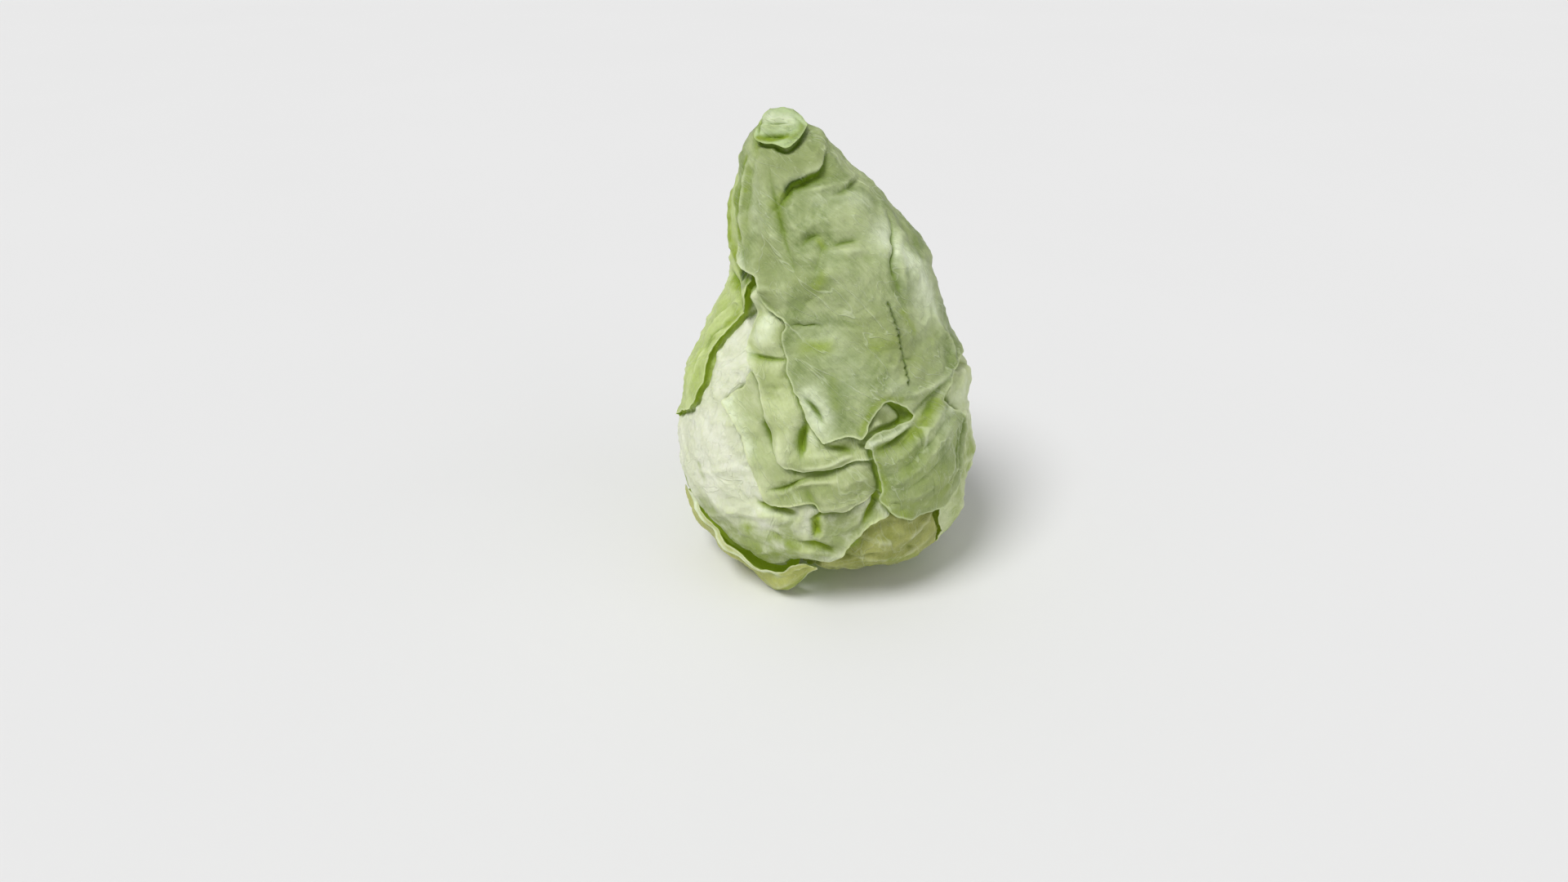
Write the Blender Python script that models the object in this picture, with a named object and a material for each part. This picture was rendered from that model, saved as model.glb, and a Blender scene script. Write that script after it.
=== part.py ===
"""A pointed cabbage standing on its cut stem, as a Blender model.

Every leaf is a thin closed sheet of its own that follows the head's outer form, and
each one drapes over the leaves below it, so the leaves nest without touching.

A place on the head is written as (azimuth, height). The azimuth is in degrees: 0 is
the front (-Y), 90 is the right-hand side (+X) and 180 is the back. The height is in
millimetres, measured up the side. Below FOOT it runs on under the head to the stem,
so it is negative there.
"""
import math

import bmesh
import bpy
import numpy as np
from mathutils import Vector
from mathutils.geometry import delaunay_2d_cdt

MM = 0.001
NAME = "pointed_cabbage"

# Driving dimensions of the head, in millimetres
CENTRE_X = 3.83
CENTRE_Y = -0.32
FOOT = 18.0
UNDERSIDE_END = -48.0
LEAF_END = -45.0
TOP = 240.5
# Height up the side, radius, height above the surface, lean of the centre to the right
STATIONS = [
    (UNDERSIDE_END, 15.0, 12.5, 0.0),
    (-30.0, 33.0, 9.5, 0.0),
    (-12.0, 50.0, 8.0, 0.0),
    (4.0, 63.5, 11.5, 0.0),
    (FOOT, 72.0, 19.5, 0.0),
    (36.0, 76.8, 36.0, -1.0),
    (60.0, 78.0, 60.0, -2.0),
    (80.0, 77.2, 80.0, -2.3),
    (102.0, 73.3, 102.0, -2.5),
    (119.0, 67.0, 119.0, -3.0),
    (137.0, 59.2, 137.0, -1.5),
    (150.0, 53.8, 150.0, 0.0),
    (163.0, 50.5, 163.0, -1.0),
    (175.0, 47.0, 175.0, -4.0),
    (187.0, 41.5, 187.0, -9.0),
    (197.0, 36.5, 197.0, -13.5),
    (210.0, 28.0, 210.0, -18.5),
    (222.0, 20.8, 222.0, -22.0),
    (232.0, 12.8, 231.5, -24.7),
    (238.0, 6.2, 237.5, -25.3),
    (TOP, 0.0, 239.5, -25.5),
]

# Leaf construction, in millimetres
LEAF_THICKNESS = 1.2
LEAF_GAP = 1.1
FACET = 10.0
MARGIN_FACET = 7.0
CLOSEST_SHARE = 0.55
FINE_BELOW_RADIUS = 42.0
FINEST_SHARE = 0.5
ROW_SPACING = 0.87
DRAPE_REACH = 10.0
SETTLE_REACH = 27.0
STEM_RADIUS = 14.2
STEM_TOP = 18.0
STEM_SIDES = 24
STEM_GAP = 0.4
HEART_MERIDIANS = 36
HEART_RINGS = 22
HEART_GAP = 1.2

# Ribs, in millimetres, with the shares of the main rib where its side ribs start
RIB_HEIGHT = 3.6
RIB_HALF_WIDTH = 5.5
SIDE_RIB_HEIGHT = 1.7
SIDE_RIB_HALF_WIDTH = 4.0
SIDE_RIB_STARTS = (0.3, 0.45, 0.6, 0.75, 0.9)
SIDE_RIB_SPREAD = 42.0
SIDE_RIB_RISE = 34.0
SIDE_RIB_FOOT = 0.12
SIDE_RIB_BEND = 1.6
SIDE_RIB_KNOTS = 9
RIB_THINNING = 0.7
SIDE_RIB_THINNING = 0.8
RIDGE_THINNING = 0.3
NARROWEST = 0.4

# Margins: how far they stand off in places, how far in that reaches, and the wave's length
MARGIN_LIFT = 1.3
MARGIN_REACH = 8.0
MARGIN_WAVE = 46.0

# Low waves of the whole surface: height, waves round the head, half waves up it, phase
WAVES = [(0.8, 9, 5.5, 0.4), (0.7, 6, 8.0, 2.1), (0.6, 14, 6.5, 4.0)]
WAVE_FADE_AT_TIP = 60.0
WAVE_FADE_AT_STEM = 40.0

# Steps of the grid that records how high the leaves are piled
GRID_AZIMUTHS = 120
GRID_HEIGHTS = 97

# Steps along lines that measure distances, steps of the flat map, samples in one spline span
LINE_STEP = 5.0
CHART_STEPS = 1200
SPAN_SAMPLES = 16

# Look of the materials
LEAF_ROUGHNESS = 0.5
SHARP_ANGLE = 50
HEART_COLOR = (0.78, 0.83, 0.58)
STEM_COLOR = (0.80, 0.78, 0.60)

# Broad swellings (+) and hollows (-) that all layers share: place, radius, height
SWELLINGS = [
    ((22, -2), 32, -11.0),
    ((52, 12), 22, -2.5),
    ((-10, 22), 16, -3.0),
    ((-58, 84), 34, 2.0),
    ((50, 124), 22, 2.5),
    ((42, 84), 26, 2.0),
    ((12, 128), 24, 1.5),
    ((-25, 172), 22, 1.5),
    ((36, 168), 20, 1.2),
    ((2, 232), 10, 1.0),
    ((78, 108), 18, 2.0),
    ((-10, 98), 14, -2.0),
    ((-36, 140), 10, -1.0),
    ((150, 90), 40, 2.0),
    ((-130, 60), 34, 2.0),
    ((175, 170), 26, -2.0),
]

# Folds that all layers share: places along it, depth, width. They run out at both ends.
FOLD_END = 0.12
FOLDS = [
    ([(-24, 203), (-16, 208), (-8, 212), (4, 213), (14, 216), (21, 222)], 3.0, 5.0),
    ([(28, 206), (44, 207), (58, 212)], 2.0, 5.0),
    ([(-16, 88), (-7, 88), (5, 90), (12, 94)], 3.0, 5.5),
    ([(-27, 70), (-18, 65), (-9, 68)], 2.0, 5.5),
    ([(-9, 78), (-4, 66), (-8, 56)], 2.5, 5.5),
    ([(18, 74), (13, 60), (8, 48)], 2.5, 5.5),
    ([(36, 110), (50, 110), (62, 113), (74, 117)], 3.0, 5.5),
    ([(-22, 100), (-19, 92)], 2.0, 5.0),
    ([(-44, 132), (-34, 133), (-26, 134)], 1.8, 5.0),
    ([(-120, 150), (-135, 140), (-152, 136)], 2.2, 6.0),
    ([(196, 120), (178, 112), (164, 116)], 2.2, 6.0),
    ([(112, 140), (124, 152), (138, 156)], 2.0, 6.0),
]

# Leaves from the innermost outward. The margin is a closed line of places and the rib
# runs from the stem to the rib's tip. Ridges are more lines, with height and half-width.
# Lifts raise one leaf off the others round a place, with reach and height.
LEAVES = [
    dict(
        name="low_leaf", color=(0.60, 0.70, 0.38),
        margin=[
            (12, -45), (4, -22), (-5, 0), (-10, 18), (-12, 30), (-8, 44), (0, 56), (10, 66),
            (20, 76), (32, 80), (44, 76), (54, 64), (57, 46), (56, 28), (53, 8), (49, -12),
            (44, -30), (42, -45),
        ],
        rib=[(27, -44), (27, -10), (27, 24), (27, 52)],
    ),
    dict(
        name="pale_leaf", color=(0.80, 0.83, 0.62),
        margin=[
            (-40, -45), (-30, -25), (-24, 0), (-21, 15), (-17, 27), (-12, 33), (-6, 36.5),
            (0, 38), (4, 39.5), (6, 42), (9, 47), (12, 52), (16, 56), (20, 58.5), (26, 62),
            (30, 70), (30, 85), (26, 100), (18, 120), (5, 140), (-15, 152), (-35, 160),
            (-50, 162), (-65, 160), (-82, 150), (-95, 130), (-102, 100), (-104, 60),
            (-100, 20), (-92, -5), (-82, -28), (-72, -45),
        ],
        rib=[(-56, -44), (-60, -10), (-63, 30), (-61, 70), (-55, 110), (-49, 142)],
    ),
    dict(
        name="inner_leaf", color=(0.70, 0.78, 0.46),
        margin=[
            (-45, 132), (-47, 122), (-49, 113), (-42, 106), (-37, 102), (-35, 98),
            (-33, 94), (-30, 87), (-27, 81), (-24, 76), (-21, 72), (-16, 75), (-12, 78),
            (-8, 81), (-3, 83.5), (2, 84.5), (9, 86), (18, 84), (29, 76), (39, 64),
            (48, 48), (54, 25), (58, 0), (62, -25), (64, -45), (86, -45), (90, -20),
            (95, 10), (100, 60), (98, 110), (80, 150), (40, 165), (0, 165), (-30, 158),
            (-42, 145),
        ],
        rib=[(75, -44), (74, -10), (72, 30), (66, 70), (54, 110), (40, 145)],
    ),
    dict(
        name="right_leaf", color=(0.64, 0.75, 0.42),
        margin=[
            (-45, 154), (-46, 149), (-47, 142), (-48, 135), (-45, 128), (-40, 124),
            (-35, 118), (-31, 112), (-28, 106), (-25, 101), (-21, 97), (-19, 91),
            (-14, 87.5), (-7, 87.5), (0, 88.5), (6, 90.5), (11, 94), (18, 93), (26, 88),
            (34, 78), (41, 66), (46, 56), (47, 46), (50, 34), (55, 18), (61, 0),
            (68, -25), (72, -45), (98, -45), (105, -20), (114, 5), (123, 40), (128, 80),
            (130, 120), (125, 160), (110, 188), (80, 200), (40, 200), (0, 190),
            (-25, 178), (-40, 165),
        ],
        rib=[(85, -44), (84, -10), (82, 30), (80, 70), (79, 105), (76, 130)],
    ),
    dict(
        name="left_leaf", color=(0.66, 0.74, 0.34),
        margin=[
            (-103, -45), (-98, -20), (-94, 10), (-92, 40), (-90, 62), (-87, 80),
            (-81, 92), (-74, 96), (-69, 102), (-67, 112), (-66, 124), (-64, 136),
            (-60, 145), (-53, 151), (-50, 158), (-51, 172), (-56, 190), (-64, 206),
            (-76, 220), (-92, 229), (-112, 228), (-132, 212), (-146, 188), (-154, 150),
            (-156, 100), (-152, 50), (-145, 10), (-137, -20), (-130, -45),
        ],
        rib=[(-116, -44), (-117, -10), (-118, 30), (-118, 80), (-115, 130), (-108, 175)],
        ridges=[([(-76, 100), (-72, 112), (-71, 126), (-67, 138), (-60, 149)], 2.0, 4.0)],
        lifts=[((-84, 190), 13, 2.5)],
    ),
    dict(
        name="base_left_leaf", color=(0.70, 0.77, 0.44),
        margin=[
            (-30, -45), (-26, -28), (-20, -10), (-13, 5), (-6, 14), (-2, 22), (0, 29),
            (-3, 34), (-8, 34), (-14, 29), (-17, 25), (-20, 20.5), (-29, 22), (-40, 26),
            (-46, 29), (-54, 33), (-62, 38), (-70, 45), (-76, 52), (-82, 55), (-86, 50),
            (-86, 38), (-84, 20), (-79, 4), (-70, -12), (-60, -28), (-54, -45),
        ],
        rib=[(-42, -44), (-44, -22), (-46, 0)],
        ridges=[([(-26, 16), (-40, 20), (-54, 27), (-66, 36)], 1.6, 4.0)],
        lifts=[((-32, -4), 26, 7.0), ((-34, -18), 18, 8.4), ((-50, 18), 18, 2.0)],
    ),
    dict(
        name="front_leaf", color=(0.56, 0.67, 0.36),
        margin=[
            (-76, 222), (-74, 210), (-70, 200), (-68, 190), (-65, 180), (-61, 171),
            (-54, 164), (-53, 157), (-48, 153), (-41, 156), (-34, 154), (-28, 151),
            (-27, 143), (-25, 134), (-22, 125), (-17, 119), (-13, 113), (-8, 106),
            (-3, 102), (4, 103), (11, 104), (14, 109), (18, 116), (23, 118.5), (28, 115),
            (33, 109), (31, 104.5), (24, 102.5), (17, 101.5), (14, 98), (17, 91),
            (17.5, 81), (20, 71), (25, 65), (32, 60), (40, 58), (48, 60), (55, 67),
            (61, 78), (62, 90), (60, 100), (54, 108), (60, 114), (68, 119), (78, 125),
            (88, 127), (98, 121), (108, 112), (111, 96), (110, 80), (118, 62), (116, 40),
            (122, 18), (122, -6), (128, -28), (130, -45), (156, -45), (162, -20),
            (168, 15), (173, 60),
            (176, 110), (180, 160), (186, 200), (198, 224), (225, 235), (262, 232),
        ],
        rib=[(143, -44), (142, -10), (140, 35), (135, 85), (126, 130), (110, 165)],
        ridges=[([(36, 115), (48, 117), (60, 118), (70, 122)], 2.2, 4.5)],
    ),
    dict(
        name="back_leaf", color=(0.62, 0.72, 0.40),
        margin=[
            (180, -45), (172, -20), (166, 8), (156, 30), (158, 54), (149, 78), (151, 104),
            (143, 126), (144, 150), (135, 172), (130, 192), (116, 212), (98, 226),
            (74, 233.5), (46, 235), (26, 232.5), (12, 229), (0, 227.5), (-12, 227.5),
            (-24, 229), (-38, 231), (-56, 233), (-80, 233), (-104, 229), (-124, 214),
            (-135, 190), (-143, 170), (-139, 148), (-148, 128), (-145, 106), (-153, 82),
            (-148, 58), (-157, 34), (-154, 12), (-160, -6), (-163, -24), (-164, -45),
        ],
        rib=[(188, -44), (188, -10), (188, 40), (187, 90), (185, 140), (182, 185)],
        lifts=[((-6, 231), 9, 1.5)],
    ),
]

# Leaf margins that show as low steps on the tight heart inside
HEART_LEAVES = [
    [(-30, -20), (-50, 60), (-40, 130), (10, 190), (60, 225), (110, 200), (130, 100), (120, 0)],
    [(90, -20), (70, 60), (80, 130), (130, 190), (180, 225), (230, 200), (250, 100), (240, 0)],
    [(210, -20), (190, 60), (200, 130), (250, 190), (300, 225), (350, 200), (370, 100), (360, 0)],
]
HEART_STEP = 1.6


def curve_through(xs, ys):
    """A smooth curve through the stations that never overshoots between two of them."""
    xs = np.asarray(xs, float)
    ys = np.asarray(ys, float)
    run = np.diff(xs)
    slope = np.diff(ys) / run
    tangent = np.zeros(len(xs))
    tangent[0] = slope[0]
    tangent[-1] = slope[-1]
    for i in range(1, len(xs) - 1):
        if slope[i - 1] * slope[i] > 0:
            before = 2 * run[i] + run[i - 1]
            after = run[i] + 2 * run[i - 1]
            tangent[i] = (before + after) / (before / slope[i - 1] + after / slope[i])

    def value(x):
        i = np.clip(np.searchsorted(xs, x, side="right") - 1, 0, len(run) - 1)
        t = (x - xs[i]) / run[i]
        start = (1 + 2 * t) * (1 - t) ** 2 * ys[i] + t * (1 - t) ** 2 * run[i] * tangent[i]
        end = t * t * (3 - 2 * t) * ys[i + 1] + t * t * (t - 1) * run[i] * tangent[i + 1]
        return start + end

    return value


STATION_COLUMNS = list(zip(*STATIONS))
radius_at = curve_through(STATION_COLUMNS[0], STATION_COLUMNS[1])
level_at = curve_through(STATION_COLUMNS[0], STATION_COLUMNS[2])
lean_at = curve_through(STATION_COLUMNS[0], STATION_COLUMNS[3])


def envelope(azimuth, height):
    """Points of the head's smooth outer form, and its outward normals."""
    turn = np.radians(azimuth)
    height = np.clip(height, UNDERSIDE_END, TOP)
    radius = radius_at(height)
    across = np.sin(turn)
    along = -np.cos(turn)
    points = np.stack([lean_at(height) + radius * across, radius * along, level_at(height)], -1)
    below = np.maximum(height - 0.5, UNDERSIDE_END)
    above = np.minimum(height + 0.5, TOP)
    step = above - below
    d_radius = (radius_at(above) - radius_at(below)) / step
    d_level = (level_at(above) - level_at(below)) / step
    d_lean = (lean_at(above) - lean_at(below)) / step
    normals = np.stack([d_level * across, d_level * along, -d_radius - d_lean * across], -1)
    normals /= np.linalg.norm(normals, axis=-1, keepdims=True)
    return points, normals


def build_chart():
    """Radii of a flat map of the head, seen from its tip, that keeps angles true."""
    heights = np.linspace(UNDERSIDE_END, TOP, CHART_STEPS)
    radius = np.maximum(radius_at(heights), 0.01)
    length = np.hypot(np.diff(radius), np.diff(level_at(heights)))
    ratio = length / ((radius[1:] + radius[:-1]) / 2)
    from_stem = np.concatenate([[0.0], np.cumsum(ratio)])
    return heights, np.exp(-from_stem)


CHART_HEIGHTS, CHART_RADII = build_chart()


def chart(azimuth, height):
    """Places on the head as points of the flat map, with its tip at the centre."""
    turn = np.radians(azimuth)
    radius = np.exp(np.interp(height, CHART_HEIGHTS, np.log(CHART_RADII)))
    radius = np.where(height >= TOP - 0.01, 0.0, radius)
    return np.stack([radius * np.sin(turn), -radius * np.cos(turn)], -1)


def inside(points, loop):
    """Which points of the flat map lie inside the closed loop."""
    result = np.zeros(len(points), bool)
    x = points[:, 0]
    y = points[:, 1]
    for start, end in zip(loop, np.roll(loop, -1, axis=0)):
        crosses = (start[1] > y) != (end[1] > y)
        rise = end[1] - start[1] if end[1] != start[1] else 1.0
        at = start[0] + (y - start[1]) / rise * (end[0] - start[0])
        result ^= crosses & (x < at)
    return result


def fineness(height):
    """Share of the usual spacing that points have here: less where the head is narrow."""
    return np.clip(radius_at(height) / FINE_BELOW_RADIUS, FINEST_SHARE, 1.0)


def spline(places, closed, step):
    """Places along a smooth line through the given ones, evenly spaced on the head."""
    knots = np.array(places, float)
    if closed:
        whole_turns = np.array([360.0 * round((knots[-1, 0] - knots[0, 0]) / 360.0), 0.0])
        ahead = knots[:2] + whole_turns
        knots = np.vstack([knots[-1] - whole_turns, knots, ahead])
    else:
        knots = np.vstack([2 * knots[0] - knots[1], knots, 2 * knots[-1] - knots[-2]])
    t = np.linspace(0, 1, SPAN_SAMPLES, endpoint=False)[:, None]
    fine = []
    for a, b, c, d in zip(knots, knots[1:], knots[2:], knots[3:]):
        bend = 2 * b + (c - a) * t + (2 * a - 5 * b + 4 * c - d) * t ** 2
        fine.append((bend + (3 * b - a - 3 * c + d) * t ** 3) / 2)
    fine = np.vstack(fine + [knots[-2][None]])
    fine[:, 1] = np.maximum(fine[:, 1], LEAF_END)
    points = envelope(fine[:, 0], fine[:, 1])[0]
    runs = np.linalg.norm(np.diff(points, axis=0), axis=1) / fineness(fine[1:, 1])
    length = np.concatenate([[0.0], np.cumsum(runs)])
    count = max(int(round(length[-1] / step)), 2)
    stations = np.linspace(0, length[-1], count + 1)
    if closed:
        stations = stations[:-1]
    return np.stack([np.interp(stations, length, fine[:, i]) for i in (0, 1)], -1)


def distance_to_line(points, line):
    """Distance from each point to a line of points, and how far along the line it is."""
    best = np.full(len(points), np.inf)
    along = np.zeros(len(points))
    for i, (start, end) in enumerate(zip(line, line[1:])):
        direction = end - start
        t = np.clip((points - start) @ direction / (direction @ direction), 0, 1)
        distance = np.linalg.norm(points - start - t[:, None] * direction, axis=1)
        closer = distance < best
        best[closer] = distance[closer]
        along[closer] = (i + t[closer]) / (len(line) - 1)
    return best, along


def swellings(points, bumps):
    """Height that smooth round bumps give to each point."""
    height = np.zeros(len(points))
    for place, reach, size in bumps:
        centre = envelope(*np.array(place, float))[0]
        height += size * np.exp(-np.sum((points - centre) ** 2, axis=1) / reach ** 2)
    return height


def shared_relief(azimuth, height_up, points):
    """Height of the waves, swellings and folds that every layer of leaves follows."""
    height = swellings(points, SWELLINGS)
    turn = np.radians(azimuth)
    half_turn = np.pi * height_up / TOP
    fade = np.clip((TOP - height_up) / WAVE_FADE_AT_TIP, 0, 1)
    fade *= np.clip((height_up - UNDERSIDE_END) / WAVE_FADE_AT_STEM, 0, 1)
    for size, around, up, phase in WAVES:
        wave = np.sin(around * turn + phase) * np.sin(up * half_turn + phase + turn)
        height += size * fade * wave
    for places, depth, width in FOLDS:
        line = spline(places, False, LINE_STEP)
        distance, along = distance_to_line(points, envelope(line[:, 0], line[:, 1])[0])
        taper = np.sin(np.pi * (FOLD_END + (1 - 2 * FOLD_END) * along))
        height -= depth * taper * np.exp(-(distance / width) ** 2)
    return height


def side_ribs(leaf):
    """Lines of the side ribs, which leave the main rib in pairs and curve upward."""
    spine = spline(leaf["rib"], False, LINE_STEP)
    margin = spline(leaf["margin"], True, MARGIN_FACET)
    loop = chart(margin[:, 0], margin[:, 1])
    t = np.linspace(SIDE_RIB_FOOT, 1, SIDE_RIB_KNOTS)
    lines = []
    for share in SIDE_RIB_STARTS:
        azimuth, height = spine[int(share * (len(spine) - 1))]
        for side in (-1, 1):
            across = azimuth + side * SIDE_RIB_SPREAD * t
            line = np.stack([across, height + SIDE_RIB_RISE * t ** SIDE_RIB_BEND], -1)
            held = inside(chart(line[:, 0], line[:, 1]), loop)
            count = len(line) if held.all() else int(np.argmin(held))
            if count > SIDE_RIB_KNOTS / 3:
                lines.append(line[:count])
    return lines


def ridge(points, line, size, half_width, thinning):
    """Height of a rounded ridge along a line, which thins out towards its end."""
    distance, along = distance_to_line(points, envelope(line[:, 0], line[:, 1])[0])
    left = 1 - thinning * along
    width = half_width * (NARROWEST + (1 - NARROWEST) * left)
    return size * left * np.exp(-(distance / width) ** 2)


def own_relief(points, leaf):
    """Height of what one leaf adds itself: its ribs, ridges and lifted margin."""
    spine = spline(leaf["rib"], False, LINE_STEP)
    height = ridge(points, spine, RIB_HEIGHT, RIB_HALF_WIDTH, RIB_THINNING)
    for line in side_ribs(leaf):
        side = ridge(points, line, SIDE_RIB_HEIGHT, SIDE_RIB_HALF_WIDTH, SIDE_RIB_THINNING)
        height = np.maximum(height, side)
    for places, size, half_width in leaf.get("ridges", []):
        line = spline(places, False, LINE_STEP)
        height = np.maximum(height, ridge(points, line, size, half_width, RIDGE_THINNING))
    margin = spline(leaf["margin"], True, LINE_STEP)
    margin = np.vstack([margin, margin[:1]])
    edge = envelope(margin[:, 0], margin[:, 1])[0]
    distance, along = distance_to_line(points, edge)
    waves = round(np.sum(np.linalg.norm(np.diff(edge, axis=0), axis=1)) / MARGIN_WAVE)
    wave = np.maximum(np.sin(2 * np.pi * waves * along), 0)
    return height + MARGIN_LIFT * wave * np.exp(-(distance / MARGIN_REACH) ** 2)


GRID_AZ = np.arange(GRID_AZIMUTHS) * 360.0 / GRID_AZIMUTHS - 180.0
GRID_H = np.linspace(UNDERSIDE_END, TOP, GRID_HEIGHTS)
GRID_AZ_STEP = 360.0 / GRID_AZIMUTHS
GRID_H_STEP = (TOP - UNDERSIDE_END) / (GRID_HEIGHTS - 1)


def windows(reach):
    """Half-width in grid steps of a window of this reach, round each ring and upward."""
    ring = 2 * np.pi * np.maximum(radius_at(GRID_H), 0.5) / GRID_AZIMUTHS
    around = np.minimum(np.ceil(reach / ring), GRID_AZIMUTHS // 2).astype(int)
    return around, int(np.ceil(reach / GRID_H_STEP))


def spread(grid, reach):
    """The highest value within reach of each place of the grid."""
    around, up = windows(reach)
    rows = []
    for row, n in zip(grid, around):
        rows.append(np.max([np.roll(row, k) for k in range(-n, n + 1)], axis=0))
    padded = np.pad(np.array(rows), ((up, up), (0, 0)), mode="edge")
    return np.max([padded[k:k + GRID_HEIGHTS] for k in range(2 * up + 1)], axis=0)


def soften(grid, reach):
    """The mean within reach of each place of the grid, weighted to its middle."""
    around, up = windows(reach)
    rows = []
    for row, n in zip(grid, around):
        weights = 1 + np.cos(np.pi * np.arange(-n, n + 1) / (n + 1))
        rows.append(sum(w * np.roll(row, k - n) for k, w in enumerate(weights)) / weights.sum())
    padded = np.pad(np.array(rows), ((up, up), (0, 0)), mode="edge")
    weights = 1 + np.cos(np.pi * np.arange(-up, up + 1) / (up + 1))
    return sum(w * padded[k:k + GRID_HEIGHTS] for k, w in enumerate(weights)) / weights.sum()


def read_grid(grid, azimuth, height):
    """Value of the grid at any place, between its points."""
    column = np.mod((azimuth - GRID_AZ[0]) / GRID_AZ_STEP, GRID_AZIMUTHS)
    row = np.clip((height - UNDERSIDE_END) / GRID_H_STEP, 0, GRID_HEIGHTS - 1.000001)
    left = column.astype(int) % GRID_AZIMUTHS
    low = row.astype(int)
    right = (left + 1) % GRID_AZIMUTHS
    u = column - np.floor(column)
    v = row - low
    lower = grid[low, left] * (1 - u) + grid[low, right] * u
    upper = grid[low + 1, left] * (1 - u) + grid[low + 1, right] * u
    return lower * (1 - v) + upper * v


def pile_leaves():
    """How far each leaf stands out from the mean surface, as one grid for each leaf.

    A leaf lies on the highest place near it of what is below, so it never cuts in.
    """
    az, h = np.meshgrid(GRID_AZ, GRID_H)
    flat = chart(az.ravel(), h.ravel())
    places = envelope(az.ravel(), h.ravel())[0]
    top = np.zeros(az.shape)
    for loop in HEART_LEAVES:
        line = spline(loop, True, FACET)
        top += HEART_STEP * inside(flat, chart(line[:, 0], line[:, 1])).reshape(az.shape)
    top = soften(top, DRAPE_REACH / 2)
    heart = top
    layers = []
    for leaf in LEAVES:
        line = spline(leaf["margin"], True, MARGIN_FACET)
        covered = inside(flat, chart(line[:, 0], line[:, 1])).reshape(az.shape)
        rest = soften(spread(top, DRAPE_REACH), DRAPE_REACH) + LEAF_THICKNESS + LEAF_GAP
        rest += swellings(places, leaf.get("lifts", [])).reshape(az.shape)
        layers.append(rest)
        relief = own_relief(places, leaf).reshape(az.shape)
        top = np.where(covered, rest + relief, top)
    mean = soften(top, SETTLE_REACH)
    return heart - mean, [layer - mean for layer in layers]


def lattice():
    """Places spread evenly over the whole head, the same ones for every leaf."""
    heights = np.linspace(UNDERSIDE_END, TOP, CHART_STEPS)
    length = np.hypot(np.diff(radius_at(heights)), np.diff(level_at(heights)))
    along = np.concatenate([[0.0], np.cumsum(length / fineness(heights[1:]))])
    rows = int(along[-1] / (FACET * ROW_SPACING))
    places = []
    for i, height in enumerate(np.interp(np.linspace(0, along[-1], rows), along, heights)):
        facet = FACET * fineness(height)
        count = max(int(round(2 * np.pi * radius_at(height) / facet)), 1)
        shift = (i % 2) / 2
        for k in range(count):
            places.append(((k + shift) * 360.0 / count - 180.0, height))
    return np.array(places)


LATTICE = lattice()


def leaf_sheet(leaf):
    """Places and triangles of a leaf: its margin, its ribs' lines and the lattice."""
    margin = spline(leaf["margin"], True, MARGIN_FACET)
    loop = chart(margin[:, 0], margin[:, 1])
    places = margin
    points = envelope(margin[:, 0], margin[:, 1])[0]
    creased = [leaf["rib"], *[line for line, *_ in leaf.get("ridges", []) + FOLDS]]
    lines = [spline(line, False, MARGIN_FACET) for line in creased]
    for line in [*lines, *side_ribs(leaf), LATTICE]:
        line = line[inside(chart(line[:, 0], line[:, 1]), loop)]
        more = envelope(line[:, 0], line[:, 1])[0]
        nearest = np.min(np.linalg.norm(more[:, None] - points[None], axis=2), axis=1)
        apart = nearest > FACET * CLOSEST_SHARE * fineness(line[:, 1])
        places = np.vstack([places, line[apart]])
        points = np.vstack([points, more[apart]])
    flat = [Vector(point) for point in chart(places[:, 0], places[:, 1])]
    result = delaunay_2d_cdt(flat, [], [list(range(len(margin)))], 1, 1e-9)
    order = [source[0] for source in result[3]]
    return places[order], result[2]


def placed(point):
    """A point of the head in metres, with the head's outline centred on the origin."""
    return Vector(point + (CENTRE_X, CENTRE_Y, 0)) * MM


def leaf_object(leaf, rise, collection):
    """One closed leaf: its sheet on the pile, thickened inward along the head's normals."""
    places, triangles = leaf_sheet(leaf)
    points, normals = envelope(places[:, 0], places[:, 1])
    height = shared_relief(places[:, 0], places[:, 1], points)
    height += read_grid(rise, places[:, 0], places[:, 1])
    outer = points + normals * (height + own_relief(points, leaf))[:, None]
    inner = points + normals * (height - LEAF_THICKNESS)[:, None]
    mesh = bmesh.new()
    number = mesh.verts.layers.int.new("number")
    for i, point in enumerate(outer):
        mesh.verts.new(placed(point))[number] = i
    mesh.verts.ensure_lookup_table()
    for triangle in triangles:
        mesh.faces.new([mesh.verts[i] for i in triangle])
    shell = bmesh.ops.extrude_face_region(mesh, geom=mesh.faces[:], use_keep_orig=True)
    for item in shell["geom"]:
        if isinstance(item, bmesh.types.BMVert):
            item.co = placed(inner[item[number]])
    return finish_object(mesh, leaf["name"], leaf["color"], collection)


def heart_object(rise, collection):
    """The tight heart that the leaves wrap, from the leaf bases to just under the tip."""
    mesh = bmesh.new()
    bmesh.ops.create_uvsphere(mesh, u_segments=HEART_MERIDIANS, v_segments=HEART_RINGS, radius=1.0)
    ball = np.array([vert.co for vert in mesh.verts])
    azimuth = np.degrees(np.arctan2(ball[:, 0], -ball[:, 1]))
    share = np.degrees(np.arctan2(ball[:, 2], np.hypot(ball[:, 0], ball[:, 1]))) / 180.0 + 0.5
    height = np.interp(share, [0, 1], [UNDERSIDE_END, TOP])
    points, normals = envelope(azimuth, height)
    offset = shared_relief(azimuth, height, points) + read_grid(rise, azimuth, height) - HEART_GAP
    points = points + normals * offset[:, None]
    points[:, 2] = np.maximum(points[:, 2], STEM_TOP + STEM_GAP)
    for vert, point in zip(mesh.verts, points):
        vert.co = placed(point)
    return finish_object(mesh, "heart", HEART_COLOR, collection)


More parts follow.
